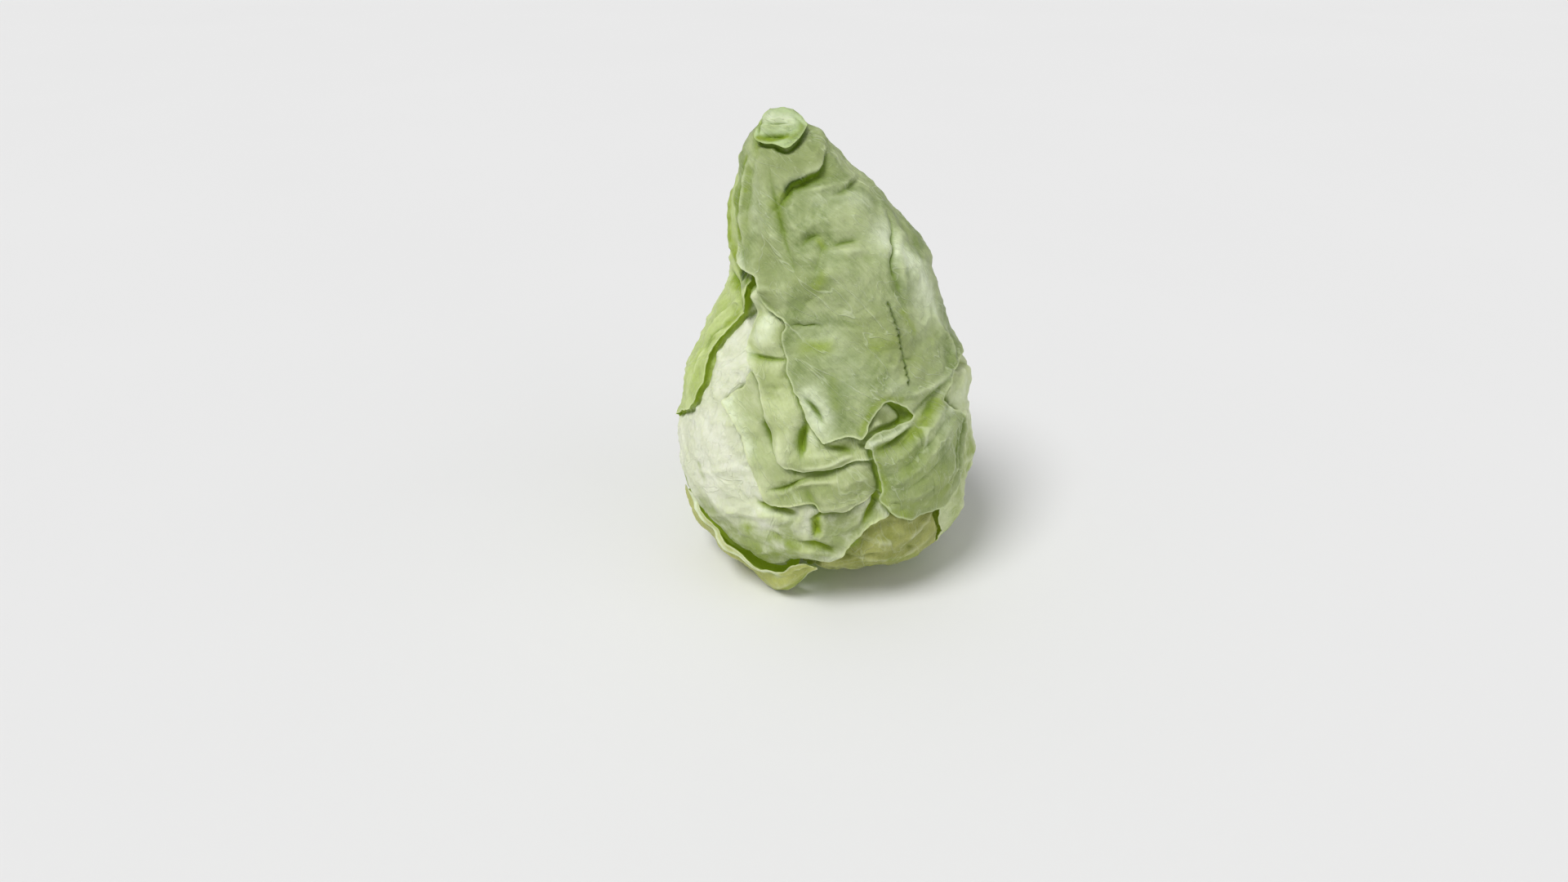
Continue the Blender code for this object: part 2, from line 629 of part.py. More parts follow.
def stem_object(collection):
    """The cut stem: a short stump whose flat lower face carries the head."""
    mesh = bmesh.new()
    bmesh.ops.create_cone(mesh, cap_ends=True, segments=STEM_SIDES, radius1=STEM_RADIUS * MM,
                          radius2=STEM_RADIUS * MM, depth=STEM_TOP * MM)
    middle = placed(np.array([0.0, 0.0, STEM_TOP / 2]))
    bmesh.ops.translate(mesh, verts=mesh.verts[:], vec=middle)
    return finish_object(mesh, "stem", STEM_COLOR, collection)


def finish_object(mesh, name, color, collection):
    """Turn the mesh into a smooth-shaded object with its own material."""
    bmesh.ops.recalc_face_normals(mesh, faces=mesh.faces[:])
    data = bpy.data.meshes.new(name)
    mesh.to_mesh(data)
    mesh.free()
    data.shade_smooth()
    data.set_sharp_from_angle(angle=math.radians(SHARP_ANGLE))
    data.materials.append(leaf_material(name, color))
    item = bpy.data.objects.new(name, data)
    collection.objects.link(item)
    return item


def leaf_material(name, color):
    """Satin, waxy leaf green."""
    material = bpy.data.materials.new(name)
    material.use_nodes = True
    shader = material.node_tree.nodes["Principled BSDF"]
    shader.inputs["Base Color"].default_value = (*color, 1.0)
    shader.inputs["Roughness"].default_value = LEAF_ROUGHNESS
    shader.inputs["Metallic"].default_value = 0.0
    return material


def build():
    """Make the whole cabbage in a collection of its own."""
    for item in list(bpy.data.objects):
        bpy.data.objects.remove(item, do_unlink=True)
    collection = bpy.data.collections.new(NAME)
    bpy.context.scene.collection.children.link(collection)
    heart_rise, rises = pile_leaves()
    stem_object(collection)
    heart_object(heart_rise, collection)
    for leaf, rise in zip(LEAVES, rises):
        leaf_object(leaf, rise, collection)


build()
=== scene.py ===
"""Looks of the pointed cabbage: fine leaves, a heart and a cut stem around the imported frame.

Every leaf is a thin closed sheet that follows the head's outer form and drapes over the
leaves below it. A place on the head is written as (azimuth, height). The azimuth is in
degrees: 0 is the front (-Y), 90 the right-hand side (+X) and 180 the back. The height is
in millimetres, measured up the side. Below FOOT it runs on under the head to the stem.
"""

import math

import bpy
import numpy as np
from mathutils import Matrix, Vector
from mathutils import noise
from mathutils.bvhtree import BVHTree
from mathutils.geometry import delaunay_2d_cdt
from mathutils.kdtree import KDTree


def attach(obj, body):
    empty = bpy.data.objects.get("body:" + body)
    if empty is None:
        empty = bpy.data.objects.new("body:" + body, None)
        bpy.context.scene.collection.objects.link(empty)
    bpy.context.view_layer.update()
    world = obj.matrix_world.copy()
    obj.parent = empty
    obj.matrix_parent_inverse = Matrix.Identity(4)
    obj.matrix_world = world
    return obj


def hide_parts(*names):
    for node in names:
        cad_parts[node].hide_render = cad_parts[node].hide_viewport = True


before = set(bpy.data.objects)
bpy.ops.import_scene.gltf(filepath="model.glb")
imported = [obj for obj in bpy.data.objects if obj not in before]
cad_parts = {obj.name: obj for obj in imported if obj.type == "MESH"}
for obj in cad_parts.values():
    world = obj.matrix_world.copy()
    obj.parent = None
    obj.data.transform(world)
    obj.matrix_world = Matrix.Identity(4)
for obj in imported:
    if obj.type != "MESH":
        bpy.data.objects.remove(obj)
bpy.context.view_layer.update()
MM = 0.001

# Driving dimensions of the head, in millimetres
CENTRE_X = 3.83
CENTRE_Y = -0.32
FOOT = 18.0
UNDERSIDE_END = -48.0
LEAF_END = -45.0
TOP = 240.5
# Height up the side, radius, level above the floor, lean of the centre to the right
STATIONS = [
    (UNDERSIDE_END, 15.0, 12.5, 0.0),
    (-30.0, 33.0, 9.5, 0.0),
    (-12.0, 50.0, 8.0, 0.0),
    (4.0, 63.5, 11.5, 0.0),
    (FOOT, 72.0, 19.5, 0.0),
    (36.0, 76.8, 36.0, -1.0),
    (60.0, 78.0, 60.0, -2.0),
    (80.0, 77.2, 80.0, -2.3),
    (102.0, 73.3, 102.0, -2.5),
    (119.0, 67.0, 119.0, -3.0),
    (137.0, 59.2, 137.0, -1.5),
    (150.0, 53.8, 150.0, 0.0),
    (163.0, 50.5, 163.0, -1.0),
    (175.0, 47.0, 175.0, -4.0),
    (187.0, 41.5, 187.0, -9.0),
    (197.0, 36.5, 197.0, -13.5),
    (210.0, 28.0, 210.0, -18.5),
    (222.0, 20.8, 222.0, -22.0),
    (232.0, 12.8, 231.5, -24.7),
    (238.0, 6.2, 237.5, -25.3),
    (TOP, 0.0, 239.5, -25.5),
]

# The sheets of the leaves, in millimetres
LEAF_THICKNESS = 1.0
EDGE_THICKNESS = 0.5
EDGE_TAPER = 3.0
LEAF_GAP = 0.55
# How far apart the skin patterns of two leaves are taken, so that no two look the same
LAYER_STEP = 40.0
DRAPE_REACH = 5.5
SETTLE_REACH = 27.0

# Spacing of a leaf's points where it shows and where it is hidden, and shares of it
SPACING = 1.15
HIDDEN_SPACING = 3.0
HIDDEN_REACH = 7.0
BACK_FACTOR = 1.35
FINE_BELOW_RADIUS = 42.0
FINEST_SHARE = 0.55
ROW_SPACING = 0.87
ROW_OFFSET = 0.75
CLOSEST_SHARE = 0.6
CELL_SHARE = 0.5
END_CLEARANCE = 0.5
SHARP_ANGLE = 60.0
OUTLINE_STEP = 0.85

# Steps along the head's curves
LINE_STEP = 2.5
CHART_STEPS = 1200
SPAN_SAMPLES = 16
SLOPE_REACH = 0.5
# Radii below which the tip's rings are taken as round as this, and what counts as nothing
LEAST_TURN_RADIUS = 1.0
LEAST_RING_RADIUS = 0.5
TINY = 0.01
ALMOST_ZERO = 1e-9

# Steps of the grid that records how high the leaves are piled
GRID_AZIMUTHS = 240
GRID_HEIGHTS = 193
GRID_END = 1e-6
CREST_REACH = 4.5

# How the shelter between leaves and in folds is felt for: reach in millimetres, and rays. Shade and a
# glow are painted on the leaves where the shelter is high
SHELTER_REACH = 13.0
SHELTER_RAYS = 14
SHELTER_START = 0.3
UNDERSIDE_SHELTER = 0.55
GOLDEN_ANGLE = math.pi * (3 - math.sqrt(5))

# Ribs, in millimetres, with the shares of the main rib where its side ribs start
RIB_HEIGHT = 3.4
RIB_HALF_WIDTH = 5.5
SIDE_RIB_HEIGHT = 1.3
SIDE_RIB_HALF_WIDTH = 2.4
SIDE_RIB_STARTS = (0.3, 0.45, 0.6, 0.75, 0.9)
SIDE_RIB_SPREAD = 42.0
SIDE_RIB_RISE = 34.0
SIDE_RIB_FOOT = 0.12
SIDE_RIB_BEND = 1.6
SIDE_RIB_KNOTS = 9
SIDE_RIB_LEAST_KNOTS = 3
RIB_THINNING = 0.7
SIDE_RIB_THINNING = 0.8
NARROWEST = 0.4

# Margins: lift in places, how far in it reaches, its waves, and the share that lifts anywhere
MARGIN_LIFT = 0.9
MARGIN_REACH = 3.0
MARGIN_WAVE = 37.0
WAVE_DRIFT = 1.5
WAVE_DRIFT_TURNS = 7
LEAST_LIFT = 0.2
LIFT_FADE_HEIGHT = 40.0

# Ragged outline of a margin: size and length of its waves, and where they calm down
RAGGED_WAVES = [(0.5, 27.0), (0.22, 12.0), (0.1, 4.7)]
RAGGED_DRIFT = 2.5
RAGGED_DRIFT_TURNS = 3
CALM_DEPTH = 30.0
CALM_RADIUS = 25.0
CALMEST = 0.3

# Groove that a margin presses into the leaves below it: depth and width, in millimetres
GROOVE_DEPTH = 1.9
GROOVE_WIDTH = 1.5

# Folds: how strong they are at their ends, how round at the bottom, how wide a step between
# two levels is, and how many beads a row of pits has in each step along its line
FOLD_END = 0.12
CREASE_ROUNDING = 0.35
STEP_WIDTH = 1.4
BEADS = 1.4
# How many of its widths away a fold is still felt
CREASE_SPAN = 5
STEP_SPAN = 4
SOFT_SPAN = 3

# Lowest level of the leaves, and how far a place that is raised to it spreads outward
FLOOR_CLEARANCE = 0.3
FLOOR_SPREAD = 0.8

# Low waves of the whole surface: height, waves round the head, half waves up it, phase
WAVES = [(0.7, 9, 5.5, 0.4), (0.6, 6, 8.0, 2.1), (0.5, 14, 6.5, 4.0)]
# Irregular puckers of the whole surface: height, size across and up, start of the pattern
PUCKERS = [(1.7, 26.0, 17.0, 3.1), (0.8, 11.0, 7.0, 41.7), (0.35, 4.5, 3.4, 77.3)]
PUCKER_OCTAVES = 2
# Fine raised wrinkles: height, size of the net they form, how narrow they are, start
WRINKLES = [(0.5, 21.0, 0.07, 91.3), (0.3, 10.0, 0.09, 17.9)]
WAVE_FADE_AT_TIP = 60.0
WAVE_FADE_AT_STEM = 40.0

# Broad swellings (+) and hollows (-) that all layers share: place, radius, height
SWELLINGS = [
    ((9, -2), 27, -11), ((48, 4), 20, -6), ((76, 24), 13, -4.5), ((86, 84), 14, -2.5),
    ((-84, 68), 12, 1.6), ((-58, 84), 34, 2), ((50, 124), 22, 2.5), ((42, 80), 26, 2.5),
    ((12, 128), 24, 1.5), ((-25, 172), 22, 1.5), ((36, 168), 20, 1.2), ((78, 108), 18, 2),
    ((-28, 98), 10, -3), ((-13, 101), 6, -2.5), ((150, 90), 40, 2), ((-130, 60), 34, 2),
    ((175, 170), 26, -2), ((3, 78), 9, 3), ((-17, 98), 7, 3.4), ((-19, 112), 7, 1.4),
    ((-36, 146), 8, 2.2), ((-38, 128), 6, 1.6), ((-44, 163), 5, 2), ((-33, 165), 8, 1.8),
    ((56, 197), 9, 0.6), ((8, 221), 12, 1.8), ((82, 229), 6, 2.6), ((12, 180), 11, 1.6),
    ((26, 204), 10, -1.2), ((66, 112), 7, 2.2), ((64, 132), 9, 1.4), ((-22, 57), 9, 1.8),
    ((0, 54), 6, -1.4), ((8, 60), 7, 1.8), ((26, 44), 12, 2.2), ((-10, 40), 7, 1.8), ((-24, 71), 6, 1.4),
    ((4, 99), 6, -1.6),
]

# Folds that all layers share: places along it, depth, width
FOLDS = [
    ([(-25, 202), (-16, 207), (-8, 210.5), (3, 212.5), (16, 214), (32, 215.5), (46, 219)], 2.6, 3.6),
    ([(36, 206.5), (50, 207), (64, 208), (78, 208)], 1.8, 2.6),
    ([(-11, 186), (-5, 190), (3, 191.5), (10, 190)], 1.5, 3),
    ([(9, 187), (20, 188.5), (34, 189.5)], 1.4, 2.6), ([(5, 188), (-2, 182), (-8, 173)], 1.2, 3),
    ([(-26, 214), (-22, 198), (-21, 185), (-22, 172)], 1.2, 4),
    ([(70, 192), (60, 186), (44, 179), (37, 170), (38, 160)], 1.4, 3),
    ([(22, 138), (34, 136), (46, 138), (58, 145)], 1.1, 4.5),
    ([(-43, 136.5), (-34, 136.5), (-22, 138)], 3, 3), ([(-27, 108), (-24.5, 103), (-20.5, 95)], 3.4, 3),
    ([(-9.5, 110), (-11, 103), (-11, 94)], 3.4, 2.8),
    ([(-13.5, 87), (-8, 85.5), (-2, 87), (4, 90.5), (10, 91.5)], 3.2, 2.8),
    ([(-22, 74.5), (-15, 77.5), (-9.5, 82), (-2, 84)], 1.3, 2.2),
    ([(-9, 77), (-7, 72), (-4, 66)], 3, 2.6), ([(-6.5, 60), (-3, 63), (4, 66)], 2.4, 2.4),
    ([(18, 76), (17, 67), (12.5, 59)], 3.4, 3), ([(-12, 47.8), (-6, 46), (1, 39)], 2.6, 2.6),
    ([(-28, 66), (-22, 63.8), (-13, 63.5)], 2.8, 2.6), ([(-6.5, 59), (-5.5, 54), (-6, 48)], 2.4, 2.6),
    ([(33, 109), (42, 112.5), (52, 115.5)], 1.8, 3), ([(-10.5, 121), (-7, 118), (-3, 111)], 1.6, 2.4),
    ([(-43, 167), (-38, 161), (-29, 156)], 2.4, 2.6), ([(-61, 190), (-58, 179), (-48, 171)], 2, 2.6),
    ([(-42, 227), (-14, 228.5), (4, 229)], 1, 1.8), ([(-2, 99), (4, 98), (10, 98)], 1.8, 2.2),
    ([(-120, 150), (-135, 140), (-152, 136)], 2.4, 4.2), ([(196, 120), (178, 112), (164, 116)], 2.6, 4.2),
    ([(112, 140), (124, 152), (138, 156)], 2.4, 4.2), ([(96, 150), (108, 160), (124, 166)], 1.6, 4),
    ([(-98, 110), (-110, 118), (-124, 116)], 1.8, 4), ([(140, 66), (152, 60), (166, 64)], 2, 4.2),
]

# The leaves, with nearly the same margins and ribs as the solids.
# creases, ridges and pits: places along the line, size, width.
# steps: a fold whose left side stands up and whose right side is sunk: places, up, down, width.
# bumps and lifts: place, reach, size. Creases and sunk sides press the leaves below down too.
# tints: for each of the four, places along its middle, width, strength. The deep tint is painted shade,
# the lush tint is painted shade where it runs along creases and grooves, and the pale tint is a painted
# highlight where it runs along ridges.
LOW_LEAF = dict(
    name="low_leaf",
    margin=[
        (12, -45), (4, -22), (-5, 0), (-10, 18), (-12, 30), (-8, 44), (0, 56), (10, 66), (20, 76),
        (32, 80), (44, 76), (54, 64), (57, 46), (57, 28), (54, 8), (49, -12), (44, -30), (42, -45),
    ],
    rib=[(27, -44), (27, -10), (27, 24), (27, 52)],
    rib_height=0.8,
    ridges=[
        ([(-2, 32.5), (4, 31), (14, 37), (24, 40)], 1.4, 2), ([(2, 27), (10, 30), (22, 31)], 1, 1.6),
        ([(22, 51), (30, 47), (40, 43)], 0.7, 2.2), ([(34, 50), (42, 46), (48, 38)], 0.8, 1.8),
    ],
    creases=[
        ([(12, 28.5), (18, 28.5), (25, 28)], 1.4, 1.2), ([(2, 35), (10, 35), (20, 36.5)], 1.2, 1.4),
        ([(30, 38), (34, 32), (38, 30)], 1.2, 1.6), ([(14, 52), (20, 55), (28, 54)], 0.8, 1.6),
    ],
    tints=dict(
        lush=[([(24, 27), (36, 22), (44, 16)], 4, 0.5), ([(9, 45), (5, 40)], 4, 0.8)],
        deep=[([(0, 18), (20, 12), (36, 6)], 8, 0.6)],
    ),
)

PALE_LEAF = dict(
    name="pale_leaf",
    margin=[
        (-40, -45), (-30, -25), (-24, 0), (-21, 15), (-17, 27), (-12, 33), (-6, 34.5), (-1, 33),
        (2.5, 35), (5, 39), (7, 45), (10, 51), (13, 55.5), (17, 59), (21.5, 60), (27, 63), (30, 70),
        (30, 85), (26, 100), (18, 120), (5, 140), (-15, 152), (-35, 160), (-50, 162), (-65, 160),
        (-82, 150), (-95, 130), (-102, 100), (-104, 60), (-100, 20), (-92, -5), (-82, -28), (-72, -45),
    ],
    rib=[(-56, -44), (-60, -10), (-63, 30), (-61, 70), (-55, 110), (-49, 142)],
    rib_height=2,
    rib_half_width=11,
    lifts=[((-28, 13), 13, 7), ((-46, 16), 10, 2.5)],
    ridges=[
        ([(-44, 100), (-40, 102), (-36, 103.5)], 1, 1.1),
        ([(-1, 34.5), (4.5, 38), (7, 46), (11, 52.5), (15, 57.5), (21, 61)], 1.8, 1.5),
        ([(-45, 54), (-36, 55), (-30, 56.5), (-24, 60), (-19, 61.5), (-14, 61)], 1.6, 2),
        ([(-2.6, 65), (4, 68), (10, 71.3)], 1.2, 1.4), ([(-12, 57), (-11, 62), (-10, 68)], 1.6, 2.2),
        ([(-12, 43), (-6, 42.5), (0, 36)], 1.4, 1.6), ([(2, 50), (7, 56), (12, 62)], 0.8, 2.2),
        ([(-60, 123), (-55, 128), (-46, 132)], 0.8, 1.2), ([(-54, 112), (-48, 104), (-44, 96)], 0.6, 2.4),
    ],
    creases=[
        ([(-28, 66.5), (-26.5, 64.3), (-22, 63.8), (-17, 63.7), (-13, 63.5)], 2.2, 1.3),
        ([(-9, 77), (-8, 74), (-6, 70), (-4, 66)], 2.6, 1.4),
        ([(-7, 60), (-4, 62.3), (1, 64.6), (5, 66)], 2.2, 1),
        ([(18, 75), (17.5, 70), (16, 66), (12.5, 58.5)], 3, 1.6),
        ([(-12, 48), (-9, 47.5), (-5, 45), (1, 39)], 2.2, 1.1),
        ([(-6.5, 59), (-5.3, 55), (-5.9, 50)], 2.4, 1.4),
        ([(-84, 50), (-72, 40), (-62, 35), (-50, 28), (-40, 24), (-26, 19)], 1.6, 3),
        ([(-40, 74), (-35, 68), (-28, 61)], 0.6, 1.2), ([(-22, 50), (-16, 46), (-12, 44)], 0.7, 2.2),
    ],
    bumps=[((-34.5, 103), 2.2, 1.4), ((-16, 40), 6, 1.2)],
    tints=dict(
        pale=[([(-24, 62), (-14, 61)], 2.6, 0.7)],
        sage=[
            ([(4, 76), (4, 62), (-1, 46)], 13, 0.95), ([(15, 62), (8, 46)], 8, 0.9),
            ([(-16, 70), (-14, 48), (-14, 32)], 11, 0.7), ([(-56, 44), (-40, 38), (-26, 30)], 13, 0.9),
        ],
        lush=[
            ([(-38, 30), (-20, 34), (-8, 42)], 10, 0.5), ([(-32, 47), (-12, 46)], 6, 0.6),
            ([(-56, 72), (-53, 67)], 2.6, 0.7), ([(-5, 60), (-4.5, 53)], 2.4, 1),
            ([(-80, 49), (-66, 38), (-52, 30), (-42, 26), (-28, 21)], 3.6, 0.95),
            ([(-76, 120), (-70, 100)], 3, 0.3),
        ],
        deep=[([(-5, 58.5), (-5, 55)], 1.2, 0.6)],
    ),
)

INNER_LEAF = dict(
    name="inner_leaf",
    margin=[
        (-36, 132), (-37, 122), (-42, 116), (-46, 111.5), (-42, 108.5), (-38, 105.5), (-35.8, 102),
        (-34, 97), (-31.8, 92), (-29.5, 86), (-27.5, 79), (-25, 73), (-23.5, 69), (-21, 67), (-17.5, 68),
        (-13, 70), (-9, 70.5), (-5.5, 69), (-3.5, 66), (0, 65.2), (5, 67), (10, 71), (15, 73.5), (20, 73),
        (29, 70), (40, 62), (54, 52), (66, 36), (72, 20), (76, 0), (80, -25), (82, -45), (104, -45),
        (108, -20), (112, 10), (112, 60), (104, 110), (80, 150), (40, 165), (0, 165), (-26, 158),
        (-34, 145),
    ],
    rib=[(93, -44), (92, -10), (89, 30), (80, 70), (60, 110), (40, 145)],
    creases=[
        ([(-27, 108), (-24.8, 103.5), (-22, 98.5), (-19.8, 94.5)], 2.6, 1.5),
        ([(-22.5, 74.7), (-18, 75.6), (-15, 77.6), (-12, 80.6), (-8, 83.3)], 1.5, 0.9),
        ([(-13.2, 89), (-13.2, 85.5), (-12.8, 82.5)], 1.4, 1),
        ([(-34, 92), (-31, 85), (-27.5, 79), (-25.5, 74)], 0.8, 2),
    ],
    ridges=[
        ([(-36, 104), (-33.5, 97), (-31, 91), (-28.5, 85), (-25.5, 76), (-22.5, 70)], 1.2, 1.4),
        ([(-22, 72.7), (-18, 73.7), (-15, 75.7), (-12, 78.6), (-9, 80.7), (-3, 82.4), (4, 84)], 1.9, 1.3),
        ([(-3, 67.3), (4, 70.2), (10, 73.6), (15, 76)], 1, 1.6),
        ([(-26, 94), (-24, 88), (-21, 84)], 0.8, 2.6), ([(2, 80), (7, 82), (13, 83)], 0.8, 2.6),
    ],
    tints=dict(
        pale=[([(-44, 112), (-38, 102), (-33, 92)], 7, 0.85)],
        sage=[([(-14, 74), (0, 77), (14, 78)], 11, 0.95), ([(-18, 79), (-8, 86), (4, 88)], 4, 0.7)],
    ),
)

RIGHT_LEAF = dict(
    name="right_leaf",
    margin=[
        (-38, 173), (-43, 170.5), (-46, 167.5), (-47.5, 164), (-47.3, 160), (-46, 157), (-44.5, 154),
        (-44, 149.5), (-43.3, 144.5), (-42.7, 139), (-40.5, 134), (-36.5, 130.3), (-33, 127),
        (-30.5, 123), (-28.3, 118.4), (-26.3, 113.4), (-24.5, 108), (-23.3, 102), (-21.5, 97),
        (-19, 92.3), (-16, 89), (-13, 87.5), (-10.5, 86.7), (-6, 87), (-2, 88), (2.5, 90), (6, 91.8),
        (10, 92.3), (18, 92), (26, 88), (34, 78), (41, 66), (46, 56), (47, 46), (50, 34), (55, 18),
        (61, 0), (68, -25), (72, -45), (98, -45), (105, -20), (114, 5), (123, 40), (128, 80), (130, 120),
        (125, 160), (110, 188), (80, 200), (40, 200), (0, 190), (-25, 180),
    ],
    rib=[(85, -44), (84, -10), (82, 30), (80, 70), (79, 105), (76, 130)],
    margin_lift=0.3,
    lifts=[((48, 42), 6, -1.2), ((52, 26), 7, -1.6), ((58, 8), 9, -1.6)],
    steps=[([(-45, 136), (-39, 135.6), (-34, 136), (-27, 136.5), (-20, 137.5)], 1.8, 1.8, 4)],
    creases=[
        ([(-9.5, 110), (-10.8, 105), (-11.4, 100), (-10.8, 94)], 3, 1.8),
        ([(27, 116), (30.5, 112.5), (31.5, 108.5), (29, 105)], 3.4, 2),
        ([(-2.5, 99.7), (2, 98.6), (7, 97.4), (10.5, 98)], 1.4, 1),
        ([(72, 120), (76, 116), (80, 110)], 1.6, 1), ([(64, 92), (65, 80), (63, 68), (60, 56)], 1.6, 1.1),
        ([(-32, 124), (-26, 123.3), (-18, 125)], 0.5, 1),
        ([(-15.6, 97), (-14.6, 93.5), (-15.8, 91.2)], 0.8, 0.8),
    ],
    ridges=[
        ([(-12.5, 89.3), (-8, 88.8), (-3.5, 89.8), (0.5, 91.8), (4, 94.2), (8, 96.6),
          (11, 98)], 2.2, 1.7),
        ([(-20, 99), (-17.5, 93), (-15, 90)], 1.8, 2.2),
        ([(-40, 136), (-35, 131.5), (-31, 127), (-28, 121), (-26, 115), (-23.5, 108)], 1.2, 1.6),
        ([(66, 98), (68, 84), (67, 66), (64, 48)], 1.3, 1.6),
        ([(-46, 166), (-46, 160), (-44, 156)], 0.8, 1.6), ([(-5, 96.5), (0, 95), (4, 95.5)], 0.6, 1.6),
    ],
    bumps=[
        ((-43, 161.5), 4, 4.4), ((-36, 144), 7, 1.6), ((-43, 134.5), 3, 1.2), ((53.5, 107.5), 2.6, -2.4),
        ((70, 117), 2.6, -2), ((76, 106), 6, 2), ((78, 114), 8, 2.8), ((70, 110), 4, 1.4),
        ((17, 108.5), 6, 3.2), ((-17, 101), 6, 1.6),
    ],
    tints=dict(
        pale=[
            ([(-45, 163), (-45, 158)], 4, 0.5), ([(-43, 135.5), (-38, 134.5)], 2.4, 0.9),
            ([(-36, 150), (-36, 144)], 5.5, 0.85), ([(-8, 103), (-4, 98)], 3, 0.6),
            ([(60, 106), (74, 102), (80, 84)], 8, 0.5),
        ],
        sage=[
            ([(-32, 128), (-26, 124), (-20, 130)], 5.5, 0.6), ([(-24, 112), (-18, 104)], 5, 0.4),
            ([(-4, 99), (8, 101)], 4, 0.8), ([(-12, 89.5), (0, 92.5), (8, 97)], 4, 0.8),
            ([(-22, 106), (-16, 100)], 6, 0.5), ([(17, 112), (22, 106)], 7, 0.8),
        ],
        lush=[
            ([(76, 66), (78, 46), (78, 24)], 12, 0.7), ([(66, 84), (64, 60)], 6, 0.5),
            ([(60, 56), (58, 40), (62, 20)], 6, 0.5),
        ],
        deep=[([(53, 109), (55, 105.5)], 1.8, 0.8)],
    ),
)

LEFT_LEAF = dict(
    name="left_leaf",
    margin=[
        (-103, -45), (-99, -20), (-97, 10), (-97, 40), (-96, 62), (-91, 76), (-84, 82), (-76, 89),
        (-67, 97), (-63, 103), (-61.5, 111), (-62, 120), (-63, 130), (-61.5, 137), (-60, 142),
        (-56, 148.5), (-50, 153), (-46, 158.5), (-47, 167), (-56, 190), (-64, 206), (-76, 220),
        (-92, 229), (-112, 228), (-132, 212), (-146, 188), (-154, 150), (-156, 100), (-152, 50),
        (-145, 10), (-137, -20), (-130, -45),
    ],
    rib=[(-116, -44), (-117, -10), (-118, 30), (-118, 80), (-115, 130), (-108, 175)],
    margin_lift=0.25,
    ridges=[
        ([(-55, 156), (-63, 153), (-70, 147), (-75, 139), (-78, 128)], 2.4, 1.8),
        ([(-63, 141), (-66.5, 134), (-68, 126), (-69.5, 116), (-69, 106), (-74, 98)], 1.6, 1.4),
        ([(-75, 132), (-77, 120), (-79, 108), (-82, 96)], 1.8, 1.6),
        ([(-90, 200), (-87, 190), (-81, 180), (-73, 172), (-62, 166)], 2.2, 2.2),
    ],
    creases=[
        ([(-61.5, 141.5), (-68, 136.3), (-70.5, 132), (-72, 127), (-73, 120), (-74, 112)], 2.2, 1.2),
        ([(-65.5, 134.6), (-67.5, 130), (-67.3, 125)], 1.6, 1),
        ([(-76, 128), (-79.5, 114), (-82, 100), (-85, 88)], 1.8, 1.2),
        ([(-86, 161), (-76, 160), (-64, 159), (-54, 157)], 2.8, 2.2),
        ([(-70, 150), (-78, 140), (-82, 126)], 1.2, 1.4),
    ],
    bumps=[((-55, 168.5), 2.6, -3), ((-46, 168.5), 2.6, -3)],
    tints=dict(
        lush=[
            ([(-50, 156), (-62, 159), (-78, 158)], 4.5, 0.95),
            ([(-92, 202), (-88, 190), (-81, 180), (-72, 171), (-60, 166)], 5, 0.95),
            ([(-68, 134), (-70.5, 128)], 3, 0.7), ([(-60, 148), (-64, 141)], 2.6, 0.7),
            ([(-88, 84), (-91, 60)], 3, 0.6),
        ],
        deep=[([(-42, 168), (-50, 167), (-60, 168)], 3.4, 1.3)],
    ),
)

BASE_LEFT_LEAF = dict(
    name="base_left_leaf",
    margin=[
        (-30, -45), (-26, -28), (-21, -10), (-15, 3), (-10, 11), (-7.5, 19), (-6, 26), (-7.5, 31),
        (-11, 31), (-14.5, 29), (-17.5, 26), (-19.5, 22), (-22, 20.5), (-29, 21.5), (-38, 25), (-46, 30),
        (-54, 34.5), (-62, 39), (-69, 42), (-74, 43), (-78, 42), (-82, 38), (-83, 30), (-83, 18),
        (-79, 4), (-70, -12), (-60, -28), (-54, -45),
    ],
    rib=[(-42, -44), (-44, -22), (-46, 0)],
    rib_height=1,
    ragged=0.5,
    margin_lift=0.3,
    ridges=[
        ([(-22, 18.5), (-30, 19.5), (-39, 22.3), (-47, 27), (-56, 32), (-64, 36.3), (-73, 40)], 2, 2.2),
        ([(-18.5, 19), (-15, 24), (-10, 28.5)], 1.6, 1.4), ([(-15, 14), (-11, 20), (-9, 26)], 1, 1.3),
        ([(-24, 2), (-30, -2), (-38, 0)], 1.4, 2),
    ],
    creases=[([(-16, 20), (-12, 23), (-8, 26)], 1, 1), ([(-22, 5), (-30, 2), (-40, 4)], 1.4, 1.4)],
    lifts=[
        ((-30, -8), 20, 9), ((-33, -20), 16, 9), ((-26, -3), 13, 7), ((-46, -4), 16, 8),
        ((-14, 4), 9, 2.5), ((-26, 18), 8, -3.4), ((-40, 24), 8, -3), ((-54, 32), 8, -2.6),
        ((-70, 43), 9, -2.2),
    ],
    tints=dict(
        pale=[([(-24, 17), (-39, 21.5), (-47, 26), (-56, 31), (-72, 41)], 3, 0.9)],
        lush=[([(-12, 8), (-22, 0), (-34, -8)], 4, 0.6)],
    ),
)

